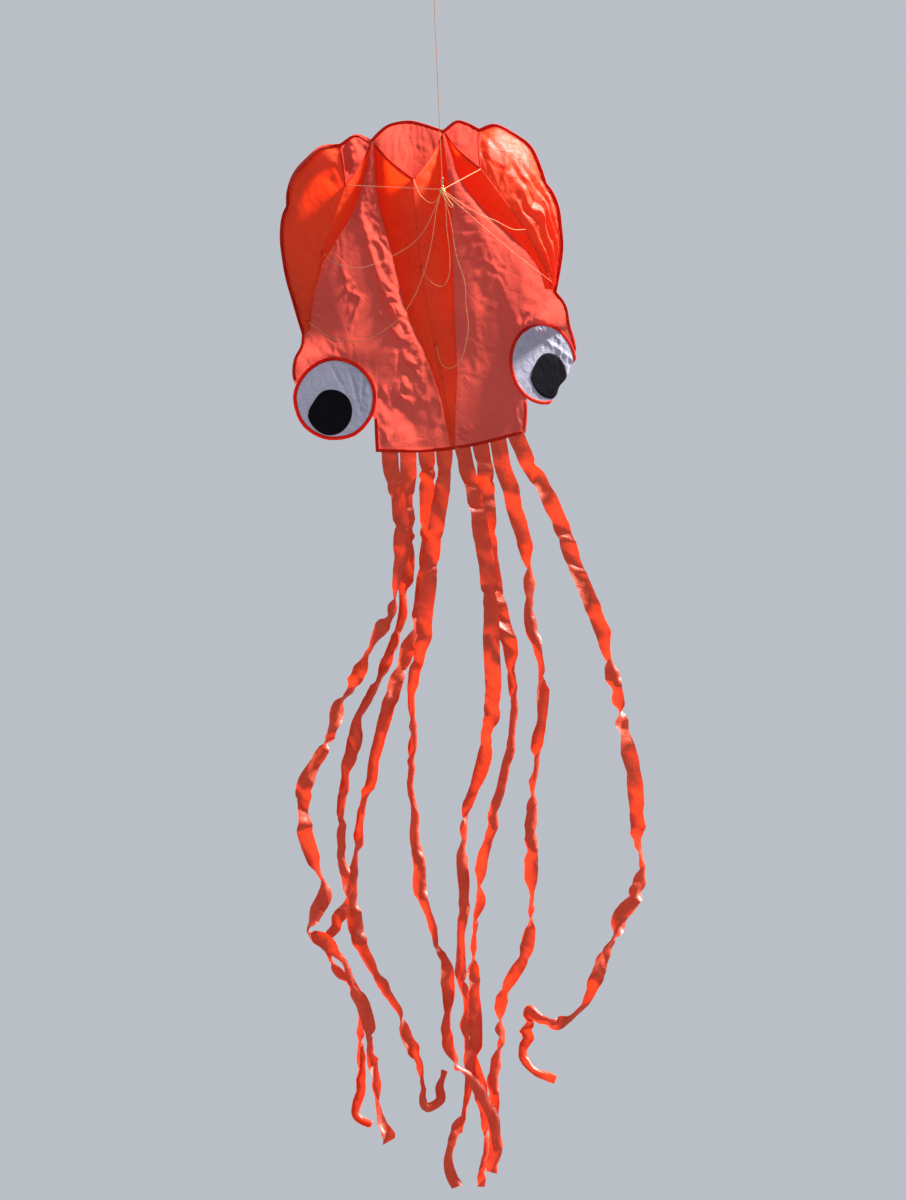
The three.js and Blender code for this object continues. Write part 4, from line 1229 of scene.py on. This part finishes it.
def addEye(name, side):
    radius = eye["radius"]
    whiteRadius = radius - eye["tuck"]
    offA, offB = [share * radius for share in side["pupilOff"]]

    def outlineAt(angle):
        # the sewn circle is pulled a little out of round
        flat = 0.03 * math.exp(-((angle - 2.3) / 0.35) ** 2) if side["sign"] < 0 else 0.0
        return 1 - flat + 0.005 * math.sin(5 * angle + 1) + 0.003 * math.sin(9 * angle)

    def whiteAt(a, b):
        far = math.hypot(a, b)
        hold = smoothstep(whiteRadius - far, 0, 16)
        pulled = outlineAt(math.atan2(b, a))
        a, b = a * pulled, b * pulled
        return eyePlace(side, a, b, 0.5 + hold * (eyeCrumple(side, a, b) + 1.5 * math.cos(far / 75)))

    def pupilAt(a, b):
        angle = math.atan2(b, a)
        # egg-shaped: flattened up and to the left, fuller low down
        stretch = 1 - 0.18 * math.exp(-((angle - 2.45) / 0.55) ** 2) + 0.02 * math.sin(3 * angle)
        a, b = a * stretch + offA, b * stretch * 1.02 + offB
        inside = smoothstep(eye["pupil"] - math.hypot(a - offA, b - offB), -2, 3)
        return eyePlace(side, a, b, 0.6 + 1.9 * inside + eyeCrumple(side, a, b) + 1.5)

    def ringAt(u, v):
        angle = 2 * math.pi * v
        share, lift = ringSection[int(round(u * 9)) % 9]
        pucker = noise.noise(Vector((math.cos(angle) * 9, math.sin(angle) * 9, side["sign"])))
        r = radius * outlineAt(angle) * (share + 0.007 * pucker)
        return eyePlace(side, r * math.cos(angle), r * math.sin(angle), lift * (1 + 0.5 * pucker))

    white = finishPiece(discSheet(whiteRadius, 3.6, whiteAt), f"{name}_eye_cloth", "white",
                        "kite", [f"eye_white_{name}"])
    faceTowards(white, (0, -1, 0))
    pupil = finishPiece(discSheet(eye["pupil"], 4.2, pupilAt), f"{name}_pupil_patch", "black",
                        "kite", [f"eye_pupil_{name}"])
    faceTowards(pupil, (0, -1, 0))
    thicken(pupil, 0.0006)
    ring = gridSheet(9, 180, (head["tape"], 2 * math.pi * radius), ringAt)
    closeSeams(ring, 0.02)
    finishPiece(ring, f"{name}_eye_tape", "tape", "kite", [f"eye_ring_{name}"])


for name, side in sides.items():
    addEye(name, side)
print("eyes made")


# ---- tabs on the ridges ----
def addTab(keel, i):
    foot = tabPlace(ridges[keel], i)

    def place(u, v):
        # a folded loop of webbing: round the loop by v, across its width by u
        a = 2 * math.pi * v
        pinch = 1 - 0.35 * (1 + math.cos(a)) / 2 * abs(2 * u - 1)
        y = -(5.5 - 4.6 * math.cos(a))
        z = 3.4 * math.sin(a) * (0.72 + 0.28 * math.cos(a + math.pi))
        return foot + Vector(((u - 0.5) * 6 * pinch, y, z))

    bm = gridSheet(6, 32, (6, 28), place)
    closeSeams(bm, 0.02)
    tab = finishPiece(bm, f"{keel}_{heights[i]}_tab", "tape", "kite",
                      [f"bridle_tab_{keel}_{heights[i]}"])
    thicken(tab, 0.0011, 0)
    rounded = tab.modifiers.new("edge", "BEVEL")
    rounded.width = 0.0003
    rounded.segments = 2
    # a bar of stitches over the tab's foot, down the ridge
    bar = bmesh.new()
    for k in range(7):
        stitch = bmesh.ops.create_cube(bar, size=1)["verts"]
        bmesh.ops.scale(bar, vec=(7.5, 1.1, 0.9), verts=stitch)
        bmesh.ops.translate(bar, vec=foot + Vector((0, 1.8, (k - 3) * 1.3)), verts=stitch)
    bmesh.ops.bevel(bar, geom=bar.edges[:], offset=0.3, segments=2, profile=0.5,
                    affect="EDGES", material=-1)
    finishPiece(bar, f"{keel}_{heights[i]}_bartack", "tape")


for keel in ridges:
    for i in range(3):
        addTab(keel, i)
print("tabs made")


# ---- ribbons ----
ribbon = {
    "width": 48.0, "pitch": 52.0, "steps": 400, "across": 12, "gap": 1.2,
    "facets": (14, 56), "facetHeight": 8.5, "kinks": (22, 62), "kinkTurn": 42,
}
ribbonRoutes = {
    "left_4": [
        (-185, 464, -755), (-175, 452, -845), (-185, 446, -970), (-210, 446, -1095),
        (-245, 455, -1170), (-300, 480, -1225), (-340, 500, -1300), (-375, 515, -1360),
        (-425, 515, -1425), (-475, 505, -1515), (-535, 500, -1595), (-560, 505, -1695),
        (-545, 505, -1820), (-520, 490, -1910), (-570, 470, -1985), (-595, 450, -2025),
        (-550, 435, -2060), (-505, 430, -2120), (-490, 430, -2180), (-470, 432, -2255),
        (-460, 436, -2325), (-465, 440, -2410), (-460, 450, -2510), (-455, 455, -2605),
        (-440, 450, -2645)],
    "left_3": [
        (-135, 476, -765), (-150, 488, -845), (-165, 492, -975), (-185, 492, -1100),
        (-205, 485, -1185), (-260, 470, -1285), (-305, 455, -1355), (-345, 445, -1410),
        (-380, 440, -1475), (-415, 440, -1555), (-435, 442, -1625), (-455, 448, -1725),
        (-470, 450, -1810), (-470, 455, -1895), (-475, 462, -1955), (-510, 475, -2020),
        (-535, 482, -2085), (-520, 485, -2140), (-488, 485, -2185), (-475, 486, -2245),
        (-480, 490, -2320), (-495, 494, -2405), (-500, 498, -2490), (-520, 496, -2560),
        (-480, 490, -2590)],
    "left_2": [
        (-80, 482, -770), (-90, 500, -885), (-105, 505, -995), (-130, 506, -1100),
        (-160, 502, -1190), (-210, 494, -1285), (-250, 478, -1355), (-285, 452, -1435),
        (-325, 432, -1525), (-355, 432, -1610), (-390, 445, -1690), (-410, 470, -1785),
        (-435, 492, -1875), (-450, 500, -1955), (-450, 492, -2055), (-430, 475, -2135),
        (-395, 460, -2235), (-370, 450, -2300), (-355, 447, -2365), (-340, 448, -2400),
        (-318, 455, -2440), (-325, 455, -2500), (-320, 450, -2560), (-285, 462, -2540),
        (-255, 475, -2470)],
    "left_1": [
        (-35, 466, -775), (-55, 462, -860), (-90, 460, -970), (-115, 460, -1065),
        (-140, 460, -1165), (-160, 464, -1260), (-190, 474, -1355), (-210, 496, -1455),
        (-220, 518, -1555), (-230, 522, -1655), (-235, 522, -1750), (-245, 515, -1850),
        (-255, 500, -1965), (-240, 480, -2055), (-230, 455, -2140), (-218, 435, -2210),
        (-225, 425, -2285), (-240, 418, -2390), (-225, 412, -2450), (-195, 408, -2490),
        (-165, 410, -2550), (-140, 415, -2620), (-140, 422, -2690), (-170, 428, -2770)],
    "right_1": [
        (30, 462, -785), (40, 452, -860), (45, 448, -960), (50, 448, -1060), (45, 450, -1175),
        (35, 458, -1285), (25, 475, -1415), (5, 495, -1525), (-25, 508, -1615), (-60, 510, -1690),
        (-95, 496, -1765), (-115, 480, -1840), (-125, 464, -1915), (-135, 458, -1995),
        (-160, 462, -2090), (-180, 456, -2185), (-180, 454, -2275), (-182, 454, -2360),
        (-180, 454, -2445), (-165, 454, -2520), (-155, 453, -2585), (-155, 456, -2650),
        (-170, 462, -2720), (-190, 470, -2810)],
    "right_2": [
        (85, 476, -790), (80, 488, -890), (70, 492, -1005), (70, 492, -1135), (80, 486, -1235),
        (92, 470, -1345), (85, 452, -1435), (65, 442, -1540), (30, 436, -1640), (-15, 440, -1735),
        (-45, 462, -1820), (-80, 490, -1920), (-100, 502, -2030), (-125, 498, -2125),
        (-142, 498, -2220), (-148, 498, -2315), (-155, 500, -2405), (-170, 500, -2475),
        (-195, 498, -2555), (-230, 486, -2620), (-265, 470, -2695), (-278, 460, -2755),
        (-270, 455, -2800)],
    "right_3": [
        (135, 472, -785), (150, 475, -855), (160, 478, -945), (172, 478, -1030), (172, 475, -1100),
        (158, 468, -1185), (158, 458, -1275), (166, 446, -1355), (155, 438, -1445),
        (130, 436, -1555), (105, 440, -1685), (80, 448, -1810), (60, 456, -1935), (45, 466, -2060),
        (20, 478, -2160), (-20, 492, -2225), (-58, 505, -2280), (-75, 515, -2345),
        (-80, 520, -2415), (-98, 522, -2475), (-120, 522, -2530), (-132, 520, -2600),
        (-148, 514, -2680), (-165, 508, -2750)],
    "right_4": [
        (210, 467, -790), (235, 462, -845), (257, 462, -905), (278, 470, -970), (295, 485, -1040),
        (312, 495, -1105), (332, 495, -1175), (350, 485, -1250), (365, 470, -1320),
        (370, 455, -1380), (367, 445, -1435), (367, 445, -1500), (378, 455, -1605),
        (392, 470, -1695), (393, 485, -1790), (388, 495, -1890), (388, 495, -1970),
        (370, 485, -2025), (325, 475, -2075), (278, 470, -2140), (240, 465, -2195),
        (210, 460, -2255), (190, 460, -2300), (155, 462, -2340), (115, 465, -2370),
        (75, 460, -2385), (35, 452, -2365), (5, 470, -2325), (-5, 488, -2360), (-8, 490, -2410),
        (-18, 480, -2455), (5, 475, -2500), (60, 470, -2530)],
}

# Down each ribbon: at a point of its route, how far it has turned about its own line in
# degrees, and how far it is rolled in across its width, in radians.
ribbonTurns = {
    "left_4": [
        (0, 0, 0.4), (3, 15, 0.7), (4.2, 60, 1.6), (4.9, 90, 2.6), (5.5, 180, 1.6), (6.3, 262, 2.4),
        (7.2, 360, 1.5), (8.2, 440, 2.6), (8.8, 530, 1.6), (9.6, 625, 2.4), (10.6, 708, 0.8),
        (12.4, 730, 0.9), (13.6, 800, 2.4), (14.4, 890, 1.4), (15.6, 985, 2.6), (17, 1090, 1.6),
        (18.5, 1200, 3.0), (20, 1300, 2.0), (22, 1400, 2.8), (23.5, 1430, 1.6), (25, 1500, 2.0)],
    "left_3": [
        (0, 0, 0.5), (1.6, -25, 1.2), (3.4, 10, 0.8), (4.6, 40, 3.4), (6.5, 60, 3.2),
        (8.4, 30, 2.8), (9.6, 10, 1.6), (11, 55, 3.6), (13, 160, 4.0), (14.5, 280, 2.4),
        (16, 380, 1.6), (17.4, 470, 3.0), (19, 560, 3.6), (21, 640, 2.2), (23, 700, 3.4),
        (25, 760, 4.2)],
    "left_2": [
        (0, 0, 0.3), (1.8, 20, 0.8), (3.6, 5, 0.6), (5.4, -20, 0.9), (7.4, -10, 1.8), (9, 20, 2.6),
        (11.4, 60, 3.8), (13, 150, 3.4), (14.5, 190, 1.4), (16, 200, 1.2), (17.5, 260, 2.4),
        (19, 330, 1.6), (20.5, 400, 2.6), (22, 440, 1.6), (23.4, 500, 3.4), (25, 560, 2.6)],
    "left_1": [
        (0, 0, 0.5), (1.5, 24, 1.6), (3.2, 5, 0.8), (5, -16, 1.0), (6.6, 20, 2.4), (8, 60, 3.4),
        (9.6, 110, 4.0), (11.4, 160, 3.2), (12.6, 210, 2.0), (14, 260, 3.0), (15.5, 320, 1.8),
        (17.4, 380, 3.4), (19, 440, 2.4), (21, 500, 2.0), (22.4, 540, 3.0), (24, 580, 2.6)],
    "right_1": [
        (0, -12, 0.8), (1.6, 18, 1.4), (2.8, 0, 0.5), (5, -8, 0.3), (7.2, 10, 0.6), (8.6, 40, 1.6),
        (10, 76, 2.2), (11, 100, 2.8), (12.4, 150, 2.0), (13.8, 190, 3.2), (15.4, 240, 2.0),
        (17, 300, 3.0), (18.6, 340, 1.4), (20, 380, 1.6), (21.6, 430, 2.2), (24, 480, 2.8)],
    "right_2": [
        (0, 0, 0.3), (2, 8, 0.3), (3.8, -4, 0.5), (5.2, 12, 0.9), (6.4, 70, 3.0), (7.6, 110, 3.8),
        (9.4, 160, 3.6), (11, 200, 3.0), (12.4, 230, 1.4), (14, 280, 2.4), (16, 350, 1.6),
        (17.6, 400, 2.8), (19.4, 440, 1.8), (21, 500, 2.6), (23, 560, 2.8)],
    "right_3": [
        (0, 0, 0.3), (2, -6, 0.4), (3.4, 10, 1.0), (4.6, 84, 2.2), (5.6, 130, 1.8), (6.8, 180, 2.6),
        (8, 260, 2.8), (9.4, 350, 2.6), (10.8, 440, 2.8), (12.2, 540, 2.4), (13.4, 600, 1.4),
        (14.6, 660, 1.8), (16, 740, 2.6), (17.4, 800, 1.4), (18.8, 850, 2.2), (20.4, 900, 2.8),
        (22, 960, 2.0), (24, 1010, 3.0)],
    "right_4": [
        (0, 0, 0.4), (1.6, 20, 0.9), (3.4, 0, 0.5), (5.2, -16, 0.8), (7, 8, 0.7), (8.4, 40, 1.2),
        (9.6, 86, 1.8), (10.6, 140, 1.5), (11.6, 210, 1.8), (12.6, 340, 0.7), (14, 366, 0.6),
        (15.6, 400, 1.6), (16.8, 450, 2.0), (18, 530, 0.9), (19.4, 560, 1.2), (20.4, 630, 2.2),
        (21.6, 700, 1.0), (23, 740, 2.2), (24.6, 790, 3.0), (26, 830, 2.6), (27.6, 880, 3.2),
        (29.4, 950, 2.6), (31, 1010, 3.2), (33, 1060, 2.0)],
}


def hungStraight(points):
    # leans a route so that the ribbon's middle hangs straight under its seam, as the solid does
    top = points[0]
    length = lean = drop = 0.0
    for a, b in zip(points, points[1:]):
        step, middle = (b - a).length, (a + b) / 2
        length += step
        lean += step * (middle.y - top.y)
        drop += step * (top.z - middle.z)
    shift = lean / drop
    return [Vector((p.x, p.y - shift * (top.z - p.z), p.z)) for p in points]


def drawn(draw, reach, steps, size):
    # places down a ribbon at uneven steps, each with a random value
    rows = [(0.0, 0.0)]
    while rows[-1][0] < reach:
        rows.append((rows[-1][0] + draw.uniform(*steps), draw.uniform(-size, size)))
    return rows


def straightBetween(rows, places, at):
    k = bisect.bisect_right(places, at) - 1
    low, high = rows[k], rows[min(k + 1, len(rows) - 1)]
    return mix(low[1], high[1], clamp((at - low[0]) / max(high[0] - low[0], 1e-6)))


def addRibbon(order, name):
    centre = (order - 3.5) * ribbon["pitch"] + 2
    top = Vector((centre, head["reach"], hemAt(centre) - ribbon["gap"]))
    spline = Spline([top, *ribbonRoutes[name]])
    steps, width = ribbon["steps"], ribbon["width"]
    points = hungStraight(spline.spaced(steps))
    for i in range(4):  # the top end is tucked up behind the hem
        points[i] += Vector((0, 1.0, 7.0)) * (1 - i / 4)
    lengths = lengthsAlong(points)
    keys = [(spline.placeOf(at), turn, roll) for at, turn, roll in ribbonTurns[name]]
    draw = random.Random(100 + order)
    # the cloth's height at each crease, flat between them, and small twists in degrees
    facets = drawn(draw, lengths[-1] + width, ribbon["facets"], ribbon["facetHeight"])
    kinks = drawn(draw, lengths[-1], ribbon["kinks"], ribbon["kinkTurn"])
    facetPlaces, kinkPlaces = [[row[0] for row in rows] for rows in (facets, kinks)]
    frames = []
    for far, share, (way, side) in zip(lengths, range(steps + 1), carried(points, Vector((1, 0, 0)))):
        turn, roll = keyed(keys, share / steps)
        turn += straightBetween(kinks, kinkPlaces, far) * smoothstep(far, 0, 60)
        across = Matrix.Rotation(math.radians(turn), 3, way) @ side
        frames.append((across, way.cross(across).normalized(), roll * smoothstep(far, 0, 30)))

    def place(u, v):
        i = int(round(v * steps))
        across, out, roll = frames[i]
        far, q = lengths[i], 2 * u - 1
        half = max(roll, 0.05) / 2
        radius = width / 2 / half
        a = radius * math.sin(q * half)
        c = radius * (1 - math.cos(q * half)) - radius * (1 - math.sin(half) / half)
        # creases run slantwise, now one way and now the other
        slant = 1.1 * math.sin(far / 95 + order) * smoothstep(far, 10, 60)
        at = clamp(far + q * slant * width / 2, 0, facets[-1][0] - 0.1)
        c += straightBetween(facets, facetPlaces, at) * smoothstep(far, 5, 50)
        c += 1.6 * noise.noise(Vector((far * 0.05, order * 7, q))) * smoothstep(far, 5, 40)
        a *= 1 + 0.03 * noise.noise(Vector((far * 0.09, order * 5, 3)))
        return points[i] + across * a + out * c

    bm = gridSheet(ribbon["across"], steps, (width, lengths[-1]), place)
    piece = finishPiece(bm, f"{name}_ribbon", "ribbon", None, [f"tentacle_{name}"])
    faceTowards(piece, (0, -1, 0))
    hem = hemAt(centre) / perMetre
    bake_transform(piece)


for order, name in enumerate(ribbonRoutes):
    addRibbon(order, name)
print("ribbons made")


# ---- light, air and floor ----
light = {
    "sunWay": (0.78, 0.17, 0.60), "sun": 16.0, "sunAngle": 9.0, "sunColour": (1.0, 0.95, 0.88),
    "sky": (0.82, 0.87, 0.95), "skyStrength": 0.60, "floorDepth": -4.4, "floorSize": 9.0,
    "floor": (0.17, 0.175, 0.185),
}


def addLight():
    lamp = bpy.data.lights.new("key", "SUN")
    lamp.energy = light["sun"]
    lamp.angle = math.radians(light["sunAngle"])
    lamp.color = light["sunColour"]
    key = bpy.data.objects.new("key", lamp)
    world.collection.objects.link(key)
    key.rotation_mode = "QUATERNION"
    key.rotation_quaternion = Vector(light["sunWay"]).to_track_quat("Z", "Y")
    air = bpy.data.worlds.new("air")
    world.world = air
    air.use_nodes = True
    sky = air.node_tree.nodes["Background"].inputs
    sky["Color"].default_value = (*light["sky"], 1)
    sky["Strength"].default_value = light["skyStrength"]
    bm = bmesh.new()
    bmesh.ops.create_circle(bm, cap_ends=True, segments=96, radius=light["floorSize"])
    bmesh.ops.translate(bm, vec=(0, 0, light["floorDepth"]), verts=bm.verts)
    mesh = bpy.data.meshes.new("floor")
    bm.to_mesh(mesh)
    bm.free()
    floor = bpy.data.objects.new("floor", mesh)
    world.collection.objects.link(floor)
    pale = bpy.data.materials.new("floor")
    pale.use_nodes = True
    face = pale.node_tree.nodes["Principled BSDF"].inputs
    face["Base Color"].default_value = (*light["floor"], 1)
    face["Roughness"].default_value = 0.9
    mesh.materials.append(pale)
    world.view_settings.view_transform = "Standard"


addLight()
